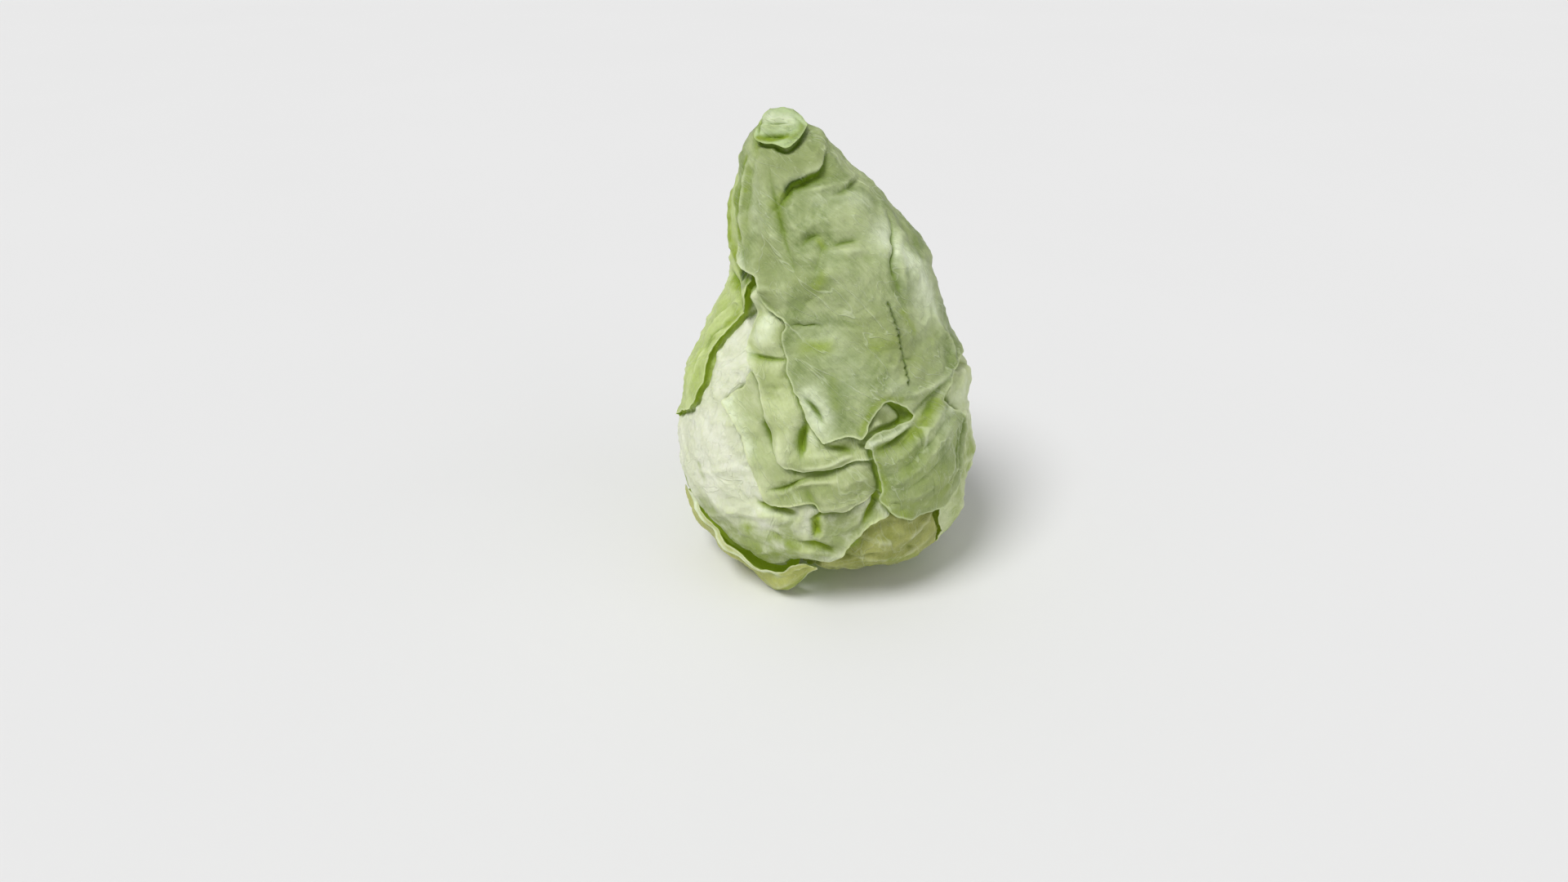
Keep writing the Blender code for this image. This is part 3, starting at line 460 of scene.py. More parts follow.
FRONT_LEAF = dict(
    name="front_leaf",
    margin=[
        (-84, 220), (-77, 215), (-71, 208), (-67, 200), (-64, 193), (-64, 186), (-63, 180), (-58, 175.5),
        (-50, 173), (-43.5, 172), (-40.5, 170), (-38.3, 167), (-38.5, 163), (-37.5, 159.5), (-34, 156.5),
        (-30, 154.7), (-26.5, 153), (-25.6, 150.5), (-25.8, 147), (-24.5, 143.5), (-22.3, 139),
        (-20.4, 136), (-20, 133), (-18.8, 129.5), (-16.8, 126.5), (-15.2, 123.5), (-12.7, 121),
        (-11.8, 118.5), (-10, 115.8), (-8.8, 112.6), (-7.8, 110), (-6.2, 106.5), (-4.4, 103.5),
        (-2.5, 101.3), (0.7, 102.5), (4, 104.3), (6.6, 105.2), (9, 104.3), (10.8, 104), (12.2, 106),
        (13.8, 109.4), (16, 111.5), (17.8, 113.8), (20.4, 115.8), (23, 117), (26, 117), (29, 115.7),
        (31.8, 113), (34, 110), (34.7, 108.4), (33, 107.6), (28.5, 106.6), (25, 105.8), (20, 105.2),
        (15.5, 104.8), (12.4, 102.3), (11.5, 99.3), (14, 97.8), (15, 94.5), (16.4, 90.5), (17, 86),
        (17.8, 80), (18, 74.5), (18, 70.5), (19.5, 68), (21, 64.5), (23.5, 60.5), (27, 57.5), (32, 55.3),
        (38, 54), (45, 53.5), (51, 56), (56, 61), (60, 69), (62, 78), (62.5, 88), (59, 99), (52, 107),
        (50, 110.5), (55, 114.5), (62, 118.3), (68, 120), (77, 122.5), (88, 127), (98, 121), (108, 112),
        (111, 96), (110, 80), (118, 62), (116, 40), (122, 18), (122, -6), (128, -28), (130, -45),
        (156, -45), (162, -20), (168, 15), (173, 60), (176, 110), (180, 160), (186, 200), (198, 216),
        (215, 222), (240, 222), (262, 221),
    ],
    rib=[(143, -44), (142, -10), (140, 35), (135, 85), (126, 130), (110, 165)],
    steps=[
        ([(-24, 202.8), (-19, 205.5), (-14, 208), (-10, 210), (-5, 212), (1, 213), (9, 214), (16, 215),
          (21, 215.5), (26, 215.6), (33, 216.7), (42, 219), (53, 222)], 2.4, 2.8, 5),
        ([(35, 207.6), (42, 208.3), (50, 208.2), (57, 208.8), (66, 209.2), (78, 209)], 1.2, 1.6, 3),
    ],
    creases=[
        ([(-28, 219), (-24, 205), (-22, 196), (-21, 186), (-19, 172)], 1.4, 1.2),
        ([(-11, 186), (-7, 189), (-2, 191), (3.5, 191.8), (8, 192)], 1.4, 1.4),
        ([(7, 189), (1.5, 185.8), (-2, 182.3), (-6, 178), (-9, 172)], 1, 1.8),
        ([(9, 186.6), (15, 188), (21, 188.4), (29, 188.7)], 1.4, 1.1),
        ([(13.5, 204), (15, 201), (16.5, 198)], 0.7, 0.9),
        ([(71, 193), (68, 190), (60, 186), (50, 181.5), (40, 177.5), (37.5, 172), (38, 168), (37.4, 163),
          (38.5, 160)], 1.5, 1),
        ([(-25, 150.3), (-22, 151.5), (-19, 152.5), (-17, 151.9), (-10, 153), (-8.5, 152.3),
          (-7.5, 150.3)], 1.4, 0.6),
        ([(-4, 168.3), (-11, 165.2), (-17.5, 161.8)], 0.8, 1.2),
        ([(20, 137.5), (22, 140.5), (30, 140), (37, 138)], 0.8, 1.2),
        ([(30, 134.2), (34, 134.3), (41, 132)], 1, 0.7), ([(22, 134), (26, 135), (30, 134)], 0.6, 0.8),
        ([(-11, 121.5), (-7, 118), (-4.2, 114), (-3, 110.5)], 1.8, 1.4),
        ([(34, 109), (38, 111), (43, 114), (48, 115.6), (54, 116.5)], 1.2, 1.4),
        ([(38, 107), (42, 109), (46, 113)], 2, 2.4),
        ([(-60, 190), (-59.5, 183), (-56, 178.5), (-50, 175.8)], 1.6, 1),
        ([(-57, 217.5), (-54.5, 213), (-56.5, 208.5)], 0.8, 1),
        ([(-65, 219), (-64, 212), (-62, 206), (-61, 200), (-60.5, 194)], 2, 1.1),
        ([(-51, 222), (-52, 212), (-52, 202), (-52, 190), (-50, 180)], 0.9, 1.2),
        ([(16, 97), (22, 98.6), (28, 100.5), (33, 103)], 2, 1.3),
        ([(35, 107), (35.3, 103), (35.5, 97), (36, 93), (37, 88)], 0.9, 0.5),
        ([(40, 76.5), (40.5, 70), (42.5, 60)], 0.8, 0.5),
        ([(20.3, 68), (22, 68.6), (25.5, 66.8)], 0.9, 0.6),
        ([(53, 107), (57, 103.5), (59.5, 98), (59.5, 88), (58, 76), (52, 63)], 1.8, 0.9),
        ([(56, 97), (56.5, 86), (54, 74), (47, 62)], 1.3, 0.8),
        ([(66, 231.5), (55, 229), (45, 226.5)], 0.9, 0.7), ([(-53, 231), (-52, 228), (-50, 224)], 1, 0.8),
        ([(-60, 232), (-60, 228), (-58, 223)], 0.9, 0.8),
        ([(28, 168.5), (14, 160), (4, 154.3)], 0.4, 0.9), ([(20, 82), (34, 89.5), (50, 101)], 1, 1.4),
        ([(20, 71), (34, 76), (50, 86)], 0.9, 1.3), ([(22, 94), (34, 101), (44, 108)], 0.9, 1.2),
    ],
    ridges=[
        ([(6, 210.3), (18, 209.8), (30, 209.7), (44, 210)], 1.4, 1.6),
        ([(5, 184.2), (17.6, 184.6), (32, 183), (40, 181)], 1.4, 2.2),
        ([(-3.5, 196), (15, 198), (31, 198), (48, 197.6)], 0.7, 1.6),
        ([(61, 146), (63.5, 139), (68, 132), (68, 126), (64, 121.3), (57, 119)], 2, 2),
        ([(30, 118.6), (36, 118.2), (42, 118.3), (48, 118.3), (55, 118.5), (60, 120)], 1.7, 1.8),
        ([(-61, 219), (-60, 210), (-58, 202), (-57, 192), (-55, 183)], 1.7, 1.3),
        ([(13, 100.8), (17, 101.8), (22, 102.3), (27, 103), (32, 104.6)], 2, 1.5),
        ([(54, 63), (60, 76), (61, 88), (58.5, 100)], 1, 1.1),
        ([(-12, 133), (3, 135), (15, 134)], 0.6, 1), ([(50, 146), (56, 150), (64, 158)], 0.9, 1.8),
        ([(41, 176), (41.5, 169), (41.5, 162)], 0.8, 2.2),
        ([(20, 120), (28, 124), (40, 127), (52, 129)], 0.8, 1.8),
        ([(24, 70), (35, 68.5), (44, 70)], 0.6, 1.2), ([(-9, 124), (-5, 119.5), (-1.5, 113)], 0.7, 1.6),
        ([(20, 88), (34, 96), (48, 106)], 1.1, 2), ([(20, 77), (34, 84), (52, 97)], 1.1, 2),
        ([(0, 126), (3, 118), (4, 110)], 0.6, 2.6), ([(-12, 172), (-2, 176), (8, 177)], 0.7, 2.2),
    ],
    bumps=[
        ((-36, 168), 6, 1.6), ((-29, 163), 5, 1.4), ((52, 207), 3, 1.1), ((56, 123), 6, 1.2),
        ((66, 184), 5, 1.2), ((44, 174), 4, 1), ((-53, 172), 3.5, 1.2),
    ],
    pits=[([(27.7, 161.4), (29.2, 154), (31.4, 145), (33.9, 136), (33.8, 128), (33.4, 123)], 1.8, 0.8)],
    tints=dict(
        pale=[
            ([(20, 206), (40, 204), (56, 201)], 8, 0.35), ([(50, 186), (56, 170), (60, 152)], 11, 0.85),
            ([(-8, 150), (2, 140), (8, 128)], 10, 0.3), ([(46, 104), (52, 92)], 7, 0.4),
            ([(73, 221), (67, 217)], 2.2, 0.3), ([(-48, 220), (-44, 204), (-42, 192)], 5, 0.3),
            ([(42, 178), (42, 164)], 4, 0.3), ([(60, 186), (68, 196)], 4.5, 0.3),
            ([(68, 150), (70, 136), (68, 126)], 3, 0.3),
            ([(34, 118.4), (48, 118.4), (58, 119.4)], 2.2, 0.35),
            ([(14, 101), (22, 102.3), (31, 104.4)], 2, 0.75), ([(-8, 122), (-4, 110)], 8, 0.75),
            ([(28, 124), (40, 124)], 8, 0.35), ([(5, 184.2), (18, 184.6), (34, 183)], 2.4, 0.2),
            ([(-56, 176), (-50, 174)], 2.6, 0.7), ([(52, 103), (56, 106)], 3.2, 0.6),
        ],
        sage=[
            ([(-36, 184), (-35, 164)], 8, 0.8), ([(-20, 220), (30, 220)], 13, 0.85),
            ([(18, 150), (30, 140), (40, 128)], 12, 0.8), ([(-24, 178), (-10, 168)], 9, 0.5),
            ([(22, 66), (34, 61), (46, 62)], 10, 0.95), ([(20, 212), (40, 213.5)], 3.6, 0.5),
        ],
        lush=[
            ([(26, 92), (34, 80), (44, 74)], 12, 0.42), ([(19, 76), (20, 66), (30, 58)], 4, 0.6),
            ([(-15, 142), (-4, 143.5)], 4.5, 0.6), ([(0.5, 130), (2, 118)], 2.6, 0.35),
            ([(18, 143), (30, 143)], 4, 0.5), ([(36, 155), (41, 145)], 3, 0.6),
            ([(-3, 175), (-8, 170.5)], 3.2, 0.6), ([(2, 190), (3.5, 187)], 2.2, 0.5),
            ([(-22, 200), (-21, 188)], 3, 0.35), ([(-24, 203), (-15, 207)], 3.4, 0.7),
            ([(-70, 206), (-65, 193), (-62, 184)], 2.4, 0.8),
            ([(-65, 219), (-63, 208), (-61, 196)], 1.6, 0.8),
            ([(-55, 216), (-54, 200), (-52, 184)], 3, 0.35),
            ([(-57, 216), (-55, 210), (-57, 205)], 2, 0.6),
            ([(-66, 231), (-58, 227), (-50, 222)], 3, 0.5), ([(16, 92), (19, 80), (20, 68)], 3, 0.6),
            ([(18, 97), (27, 98.5), (36, 101)], 4, 0.7), ([(38, 104), (46, 110)], 5, 0.7),
            ([(11, 106), (15, 114), (22, 119), (30, 117)], 2.2, 0.6),
            ([(24, 66), (40, 60), (52, 66)], 5, 0.4), ([(52, 96), (54, 82)], 5, 0.4),
            ([(58, 150), (56, 138)], 5, 0.4),
        ],
        deep=[
            ([(-10, 209.7), (-4, 212), (3, 213), (10, 213.6)], 2.2, 1.2),
            ([(14, 214.5), (24, 215.2), (36, 217), (50, 221)], 1.2, 0.9),
            ([(-36, 178), (-35, 166)], 7, 0.25), ([(-24, 219), (6, 221)], 9, 0.26),
            ([(-18, 226), (-10, 224.6), (0, 224.6)], 1.2, 0.9),
            ([(5, 225.5), (14, 227), (26, 228.7)], 1, 0.7), ([(35, 110), (42, 113), (49, 115)], 1.8, 0.5),
            ([(27.7, 161.4), (29.2, 154), (31.4, 145), (33.9, 136), (33.8, 128), (33.4, 123)], 0.9, 0.7),
        ],
    ),
)

BACK_LEAF = dict(
    name="back_leaf",
    margin=[
        (180, -45), (172, -20), (166, 8), (156, 30), (158, 54), (149, 78), (151, 104), (143, 126),
        (144, 150), (141, 172), (139, 192), (138, 214), (134, 230), (124, 237.3), (104, 238.6),
        (80, 238.3), (66, 236), (56, 233), (47, 232), (38, 231), (26, 229.3), (14, 227.6), (4, 225.7),
        (-4, 225), (-12, 226), (-20, 227), (-30, 227), (-40, 227), (-50, 227.4), (-57, 229.5),
        (-66, 233.5), (-78, 237.5), (-100, 238.6), (-122, 237.3), (-132, 228), (-134, 212), (-137, 190),
        (-143, 170), (-139, 148), (-148, 128), (-145, 106), (-153, 82), (-148, 58), (-157, 34),
        (-154, 12), (-160, -6), (-163, -24), (-164, -45),
    ],
    rib=[(188, -44), (188, -10), (188, 40), (187, 90), (185, 140), (182, 185)],
    ragged=0.35,
    margin_lift=0.1,
    lifts=[((-12, 232), 7, 1)],
    bumps=[((-30, 232), 4, 1.6), ((18, 233), 4, 1.4), ((-4, 227.5), 2, 0.6)],
    creases=[
        ([(-42, 228.5), (-28, 229.5), (-14, 229.8), (-4, 230), (6, 230.5)], 2, 0.9),
        ([(-62, 235), (-52, 231.5), (-46, 229)], 1.8, 0.9),
        ([(-78, 235.5), (-66, 235), (-54, 232.5)], 0.8, 0.8),
        ([(10, 237), (22, 234), (30, 231.5)], 0.8, 0.8),
        ([(-56, 234.2), (-28, 234.3), (0, 235), (26, 234.6)], 1.2, 0.6),
        ([(40, 237), (46, 235), (50, 233)], 0.7, 0.8),
    ],
    ridges=[
        ([(-60, 235.5), (-30, 235.5), (0, 236.5), (30, 236)], 1.4, 0.9),
        ([(-50, 232.5), (-26, 233), (-6, 233.4), (14, 233)], 1.3, 0.9),
        ([(-16, 228), (-8, 226.8), (2, 227.3), (12, 229.5), (26, 231), (40, 233)], 1, 1.1),
    ],
    tints=dict(
        pale=[([(-36, 236), (4, 236)], 6, 0.75)],
        lush=[
            ([(8, 229), (28, 231), (44, 234)], 1.8, 0.6), ([(-46, 228), (-24, 229), (4, 230)], 1.6, 1),
            ([(-80, 234), (-60, 233)], 2.4, 0.8),
        ],
    ),
)

# From the innermost outward
LEAVES = [
    LOW_LEAF, PALE_LEAF, INNER_LEAF, RIGHT_LEAF, LEFT_LEAF, BASE_LEFT_LEAF, FRONT_LEAF, BACK_LEAF,
]

# The heart: one leaf margin, repeated round it as low steps, and the mesh that shows them
HEART_LEAF = [(-30, -20), (-50, 60), (-40, 130), (10, 190), (60, 225), (110, 200), (130, 100), (120, 0)]
HEART_TURNS = (0, 120, 240)
HEART_STEP = 1.6
HEART_GAP = 2.0
HEART_SIDES = 96
HEART_RINGS = 72
HEART_START = UNDERSIDE_END + 1.0
HEART_END = TOP - 0.5
HEART_EDGE = 30.0
HEART_LAYER = -60.0

# The cut stem, with share of its radius and level of each ring up its side
STEM_RADIUS = 14.2
STEM_TOP = 18.0
STEM_SIDES = 72
STEM_END = STEM_TOP - 0.4
STEM_PROFILE = [
    (0.3, 0.0), (0.62, 0.0), (0.9, 0.0), (0.985, 0.35), (1.0, 1.2), (0.985, 4.0), (0.97, 8.0),
    (0.975, 13.0), (0.96, STEM_END),
]
STEM_ROUND_SHARE = 0.5
STEM_SHRINK = 0.02
# Unevenness of the stem's side: share of the radius, waves round it, phase
STEM_WAVES = [(0.012, 5, 0.7), (0.008, 11, 0.0)]
HEART_FLOOR = STEM_TOP + 0.4

# Colours of each leaf: its lighter and darker ground, the painted shade of its folds and gaps (also the
# colour of their painted glow), and its thin margin (also the painted highlight on its crests)
LOOKS = {
    "front_leaf": dict(
        light=(0.49, 0.56, 0.29), dark=(0.18, 0.25, 0.062),
        shade=(0.15, 0.24, 0.010), margin=(0.66, 0.74, 0.42)),
    "back_leaf": dict(
        light=(0.62, 0.74, 0.42), dark=(0.32, 0.44, 0.16),
        shade=(0.17, 0.27, 0.010), margin=(0.52, 0.64, 0.27)),
    "left_leaf": dict(
        light=(0.62, 0.72, 0.32), dark=(0.42, 0.53, 0.14),
        shade=(0.20, 0.31, 0.012), margin=(0.68, 0.77, 0.38)),
    "right_leaf": dict(
        light=(0.67, 0.74, 0.44), dark=(0.45, 0.53, 0.21),
        shade=(0.20, 0.30, 0.012), margin=(0.74, 0.80, 0.50)),
    "inner_leaf": dict(
        light=(0.60, 0.66, 0.38), dark=(0.40, 0.48, 0.19),
        shade=(0.20, 0.30, 0.012), margin=(0.68, 0.74, 0.42)),
    "pale_leaf": dict(
        light=(0.85, 0.87, 0.72), dark=(0.65, 0.70, 0.45),
        shade=(0.26, 0.36, 0.02), margin=(0.60, 0.67, 0.33)),
    "base_left_leaf": dict(
        light=(0.57, 0.60, 0.19), dark=(0.39, 0.43, 0.08),
        shade=(0.20, 0.29, 0.010), margin=(0.80, 0.84, 0.58)),
    "low_leaf": dict(
        light=(0.50, 0.52, 0.17), dark=(0.24, 0.27, 0.04),
        shade=(0.12, 0.165, 0.006), margin=(0.50, 0.53, 0.22)),
    "heart": dict(
        light=(0.60, 0.68, 0.34), dark=(0.42, 0.52, 0.18),
        shade=(0.16, 0.24, 0.015), margin=(0.66, 0.72, 0.42)),
}
# Local tints: cream, partly a painted highlight on ridges; grey-green; saturated yellow-green, partly
# painted shade in creases and grooves; and painted shade, the dark of deep folds
TINTS = {
    "pale": (0.76, 0.84, 0.58),
    "sage": (0.32, 0.385, 0.145),
    "lush": (0.26, 0.36, 0.022),
    "deep": (0.05, 0.095, 0.004),
}
PALE_RIB = (0.80, 0.84, 0.62)
# Which sockets of a mix node hold its colours
MIX_FIRST_COLOR = 6
MIX_SECOND_COLOR = 7
MIX_RESULT_COLOR = 2

# Patterns of the skin, and the noise values between which each goes from none to full
BLOTCHES = dict(scale=42.0, detail=4.0, roughness=0.6, distortion=0.8, low=0.34, high=0.66)
SPECKLE = dict(scale=240.0, detail=4.0, roughness=0.65, low=0.3, high=0.7)
STREAKS = dict(scale=1.0, detail=4.0, roughness=0.65, low=0.3, high=0.72)
STREAK_STRETCH = (0.7, 0.12, 1.0)
UNEVEN = dict(
    scale=130.0, detail=3.0, roughness=0.6, distortion=0.5, low=0.25, high=0.75,
    least=0.6, most=1.25)
# Veins follow the middle value of a stretched noise: stretch, noise, width, strength
VEINS = [
    ((0.045, 0.028, 1.0), dict(detail=3.0, roughness=0.5, distortion=0.8), 0.012, 1.0),
    ((0.16, 0.09, 1.0), dict(detail=2.0, roughness=0.5, distortion=0.6), 0.014, 0.6),
]
NOISE_MIDDLE = 0.5
VEIN_PALENESS = {"front_leaf": 0.3, "pale_leaf": 0.1}
USUAL_PALENESS = 0.2
# Shares of the patterns in the colour of the ground and in the skin's fine relief
GROUND = {"blotches": 0.62, "speckle": 0.2, "streaks": 0.18}
RELIEF = {"speckle": 0.5, "streaks": 0.4, "vein": 0.8}
# Colours laid over the ground: value, its range, strength at either end of it, colour
OVERLAYS = [
    # Ridge tops: paler wax with a painted highlight, in the margin colour
    ("crest", 0.1, 1.8, 0.0, 0.6, "margin"),
    # Hollows of the surface and creases: painted shade
    ("crest", -0.1, -1.8, 0.0, 0.6, "shade"),
    ("hollow", 0.3, 2.0, 0.0, 0.75, "shade"),
    ("rib", 0.3, 2.2, 0.0, 0.6, "rib"),
    ("edge", 0.2, 1.3, 0.55, 0.0, "margin"),
    # Gaps between leaves: painted shade
    ("shelter", 0.12, 0.65, 0.0, 0.9, "shade"),
]
# Painted glow in the gaps between the leaves, in place of light through them: its strength, and the
# shelter over which it comes in
PAINTED_GLOW = 0.35
PAINTED_GLOW_SHELTER = (0.2, 0.8)
LEAF_ROUGHNESS = (0.40, 0.52)
# Strength and depth in metres of the fine relief
LEAF_BUMP = (0.6, 0.0006)
LEAF_SHADER = dict(
    Subsurface_Weight=0.1, Subsurface_Radius=(1.0, 1.2, 0.35), Subsurface_Scale=0.001,
    Specular_IOR_Level=0.33)

# The cut stem's colours: pale fibres from dark to light, and browned patches over them
STEM_TONES = ((0.58, 0.54, 0.32), (0.78, 0.75, 0.54))
STEM_BROWN = (0.50, 0.40, 0.20)
STEM_BROWNING = 0.4
STEM_FIBRES = dict(scale=420.0, detail=3.0, roughness=0.6)
STEM_PATCHES = dict(scale=110.0, detail=3.0, roughness=0.6, low=0.35, high=0.7)
STEM_BUMP = (0.5, 0.0004)
STEM_ROUGHNESS = 0.7

# The plain pale floor: half its side and its level in metres, and its two close tones
FLOOR_HALF = 8.0
FLOOR_LEVEL = -0.0002
FLOOR_TONES = ((0.80, 0.80, 0.80), (0.82, 0.82, 0.82))
FLOOR_PATTERN = dict(scale=3.0, detail=2.0, roughness=0.55)
FLOOR_SHADER = dict(Roughness=0.9, Specular_IOR_Level=0.1)

# Studio light: strength of the even light, and strength, softness and direction of each sun
EVEN_LIGHT = 0.40
SUNS = {"key": (2.1, 24, (0.42, 0.42, -1.0)), "fill": (0.45, 60, (-1.0, 0.5, -0.35))}

# The camera where the photo's camera stood: beside and before the head and above the floor
CAMERA_ASIDE = 24.6
CAMERA_DISTANCE = 506.6
CAMERA_HEIGHT = 355.0
CAMERA_TILT = 59.8
CAMERA_LENS = 24.45
CAMERA_SENSOR = 36.0


def curve_through(xs, ys):
    """A smooth curve through the stations that never overshoots between two of them."""
    xs = np.asarray(xs, float)
    ys = np.asarray(ys, float)
    run = np.diff(xs)
    slope = np.diff(ys) / run
    tangent = np.zeros(len(xs))
    tangent[0] = slope[0]
    tangent[-1] = slope[-1]
    for i in range(1, len(xs) - 1):
        if slope[i - 1] * slope[i] > 0:
            before = 2 * run[i] + run[i - 1]
            after = run[i] + 2 * run[i - 1]
            tangent[i] = (before + after) / (before / slope[i - 1] + after / slope[i])

    def value(x):
        i = np.clip(np.searchsorted(xs, x, side="right") - 1, 0, len(run) - 1)
        t = (x - xs[i]) / run[i]
        start = (1 + 2 * t) * (1 - t) ** 2 * ys[i] + t * (1 - t) ** 2 * run[i] * tangent[i]
        end = t * t * (3 - 2 * t) * ys[i + 1] + t * t * (t - 1) * run[i] * tangent[i + 1]
        return start + end

    return value


STATION_HEIGHTS, *STATION_VALUES = zip(*STATIONS)
radius_at, level_at, lean_at = [curve_through(STATION_HEIGHTS, values) for values in STATION_VALUES]


def unit(vectors):
    """The vectors at a length of 1."""
    return vectors / (np.linalg.norm(vectors, axis=-1, keepdims=True) + ALMOST_ZERO)


def bell(x):
    """1 at 0, and falling off smoothly to either side."""
    return np.exp(-x ** 2)


def running_total(lengths):
    """How far each point is along a line, from the lengths between them."""
    return np.concatenate([[0.0], np.cumsum(lengths)])


def envelope(azimuth, height):
    """Points of the head's smooth outer form, and its outward normals."""
    turn = np.radians(azimuth)
    height = np.clip(height, UNDERSIDE_END, TOP)
    radius = radius_at(height)
    across = np.sin(turn)
    along = -np.cos(turn)
    points = np.stack([lean_at(height) + radius * across, radius * along, level_at(height)], -1)
    below = np.maximum(height - SLOPE_REACH, UNDERSIDE_END)
    above = np.minimum(height + SLOPE_REACH, TOP)
    curves = (radius_at, level_at, lean_at)
    d_radius, d_level, d_lean = [(at(above) - at(below)) / (above - below) for at in curves]
    normals = np.stack([d_level * across, d_level * along, -d_radius - d_lean * across], -1)
    return points, normals / np.linalg.norm(normals, axis=-1, keepdims=True)


def build_chart():
    """Radii of a flat map of the head, seen from its tip, that keeps angles true."""
    heights = np.linspace(UNDERSIDE_END, TOP, CHART_STEPS)
    radius = np.maximum(radius_at(heights), TINY)
    length = np.hypot(np.diff(radius), np.diff(level_at(heights)))
    return heights, np.exp(-running_total(length / ((radius[1:] + radius[:-1]) / 2)))


CHART_HEIGHTS, CHART_RADII = build_chart()


def chart(azimuth, height):
    """Places on the head as points of the flat map, with its tip at the centre."""
    turn = np.radians(azimuth)
    radius = np.exp(np.interp(height, CHART_HEIGHTS, np.log(CHART_RADII)))
    radius = np.where(height >= TOP - TINY, 0.0, radius)
    return np.stack([radius * np.sin(turn), -radius * np.cos(turn)], -1)


def inside(places, line):
    """Which of the places lie inside a closed line of places."""
    x, y = chart(*places.T).T
    loop = chart(*line.T)
    result = np.zeros(len(places), bool)
    for start, end in zip(loop, np.roll(loop, -1, axis=0)):
        crosses = (start[1] > y) != (end[1] > y)
        rise = end[1] - start[1] if end[1] != start[1] else 1.0
        at = start[0] + (y - start[1]) / rise * (end[0] - start[0])
        result ^= crosses & (x < at)
    return result


def tip_share(height):
    """Share of the usual spacing that points have at this height: less near the tip."""
    return np.clip(radius_at(height) / FINE_BELOW_RADIUS, FINEST_SHARE, 1.0)


def fineness(azimuth, height):
    """Share of the usual spacing that points have here: less at the tip, more at the back."""
    behind = (1 - np.cos(np.radians(azimuth))) / 2
    return tip_share(height) * (1 + (BACK_FACTOR - 1) * behind ** 2)


def spline(places, closed=False, step=LINE_STEP):
    """Places along a smooth line through the given ones, evenly spaced on the head."""
    knots = np.array(places, float)
    if closed:
        whole_turns = np.array([360.0 * round((knots[-1, 0] - knots[0, 0]) / 360.0), 0.0])
        knots = np.vstack([knots[-1] - whole_turns, knots, knots[:2] + whole_turns])
    else:
        knots = np.vstack([2 * knots[0] - knots[1], knots, 2 * knots[-1] - knots[-2]])
    t = np.linspace(0, 1, SPAN_SAMPLES, endpoint=False)[:, None]
    fine = []
    for a, b, c, d in zip(knots, knots[1:], knots[2:], knots[3:]):
        bend = 2 * b + (c - a) * t + (2 * a - 5 * b + 4 * c - d) * t ** 2
        fine.append((bend + (3 * b - a - 3 * c + d) * t ** 3) / 2)
    fine = np.vstack(fine + [knots[-2][None]])
    fine[:, 1] = np.maximum(fine[:, 1], LEAF_END)
    points = envelope(*fine.T)[0]
    runs = np.linalg.norm(np.diff(points, axis=0), axis=1) / tip_share(fine[1:, 1])
    length = running_total(runs)
    count = max(int(round(length[-1] / step)), 2)
    stations = np.linspace(0, length[-1], count + 1)
    if closed:
        stations = stations[:-1]
    return np.stack([np.interp(stations, length, column) for column in fine.T], -1)


def shifted(line, offset, closed=False):
    """The line moved sideways over the head by an offset in millimetres, to its left."""
    mm_per_degree = np.radians(1) * np.maximum(radius_at(line[:, 1]), LEAST_TURN_RADIUS)
    if closed:
        ahead = np.roll(line, -1, axis=0) - np.roll(line, 1, axis=0)
        ahead[:, 0] = np.mod(ahead[:, 0] + 180, 360) - 180
    else:
        ahead = np.gradient(line, axis=0)
    run = unit(np.stack([ahead[:, 0] * mm_per_degree, ahead[:, 1]], -1))
    moved = line.copy()
    moved[:, 0] -= offset * run[:, 1] / mm_per_degree
    moved[:, 1] += offset * run[:, 0]
    return moved


def leaf_margin(leaf):
    """The leaf's margin as a closed line of places, with its small ragged waves."""
    step = SPACING * OUTLINE_STEP
    line = spline(leaf["margin"], True, step)
    position = np.arange(len(line)) / len(line)
    seed = sum(ord(letter) for letter in leaf["name"])
    wave = np.zeros(len(line))
    for k, (size, wavelength) in enumerate(RAGGED_WAVES):
        turns = round(len(line) * step / wavelength)
        drift = np.sin(2 * np.pi * (RAGGED_DRIFT_TURNS + k) * position + seed)
        wave += size * np.sin(2 * np.pi * turns * position + RAGGED_DRIFT * drift + seed * (k + 1))
    wave *= leaf.get("ragged", 1.0) * np.clip((line[:, 1] + CALM_DEPTH) / CALM_DEPTH, 0, 1)
    wave *= np.clip(radius_at(line[:, 1]) / CALM_RADIUS, CALMEST, 1)
    return shifted(line, wave, closed=True)


def distance_to_line(points, line, reach):
    """Distance from each point to a line of places, how far along it is, and its side.

    Points further than the reach are left at infinity. The side is + on the line's left.
    """
    path, up = envelope(*line.T)
    best = np.full(len(points), np.inf)
    along = np.zeros(len(points))
    side = np.ones(len(points))
    near = np.all((points > path.min(0) - reach) & (points < path.max(0) + reach), axis=1)
    near = np.flatnonzero(near)
    for i, (start, end) in enumerate(zip(path, path[1:])):
        direction = end - start
        offset = points[near] - start
        t = np.clip(offset @ direction / max(direction @ direction, ALMOST_ZERO), 0, 1)
        offset -= t[:, None] * direction
        distance = np.linalg.norm(offset, axis=1)
        closer = distance < best[near]
        hit = near[closer]
        best[hit] = distance[closer]
        along[hit] = (i + t[closer]) / (len(path) - 1)
        side[hit] = np.sign(np.cross(direction, offset[closer]) @ up[i])
    return best, along, side


def ends(along):
    """How strong a line is along its length: it runs out at both ends."""
    return np.sin(np.pi * (FOLD_END + (1 - 2 * FOLD_END) * along))


def swellings(points, bumps):
    """Height that smooth round bumps give to each point."""
    height = np.zeros(len(points))
    for place, reach, size in bumps:
        centre = envelope(*np.array(place, float))[0]
        height += size * np.exp(-np.sum((points - centre) ** 2, axis=1) / reach ** 2)
    return height


def soft_fold(points, places, size, width, span=SOFT_SPAN):
    """Height or depth of a rounded fold along a smooth line through the places."""
    distance, along, _ = distance_to_line(points, spline(places), span * width)
    return size * ends(along) * bell(distance / width)


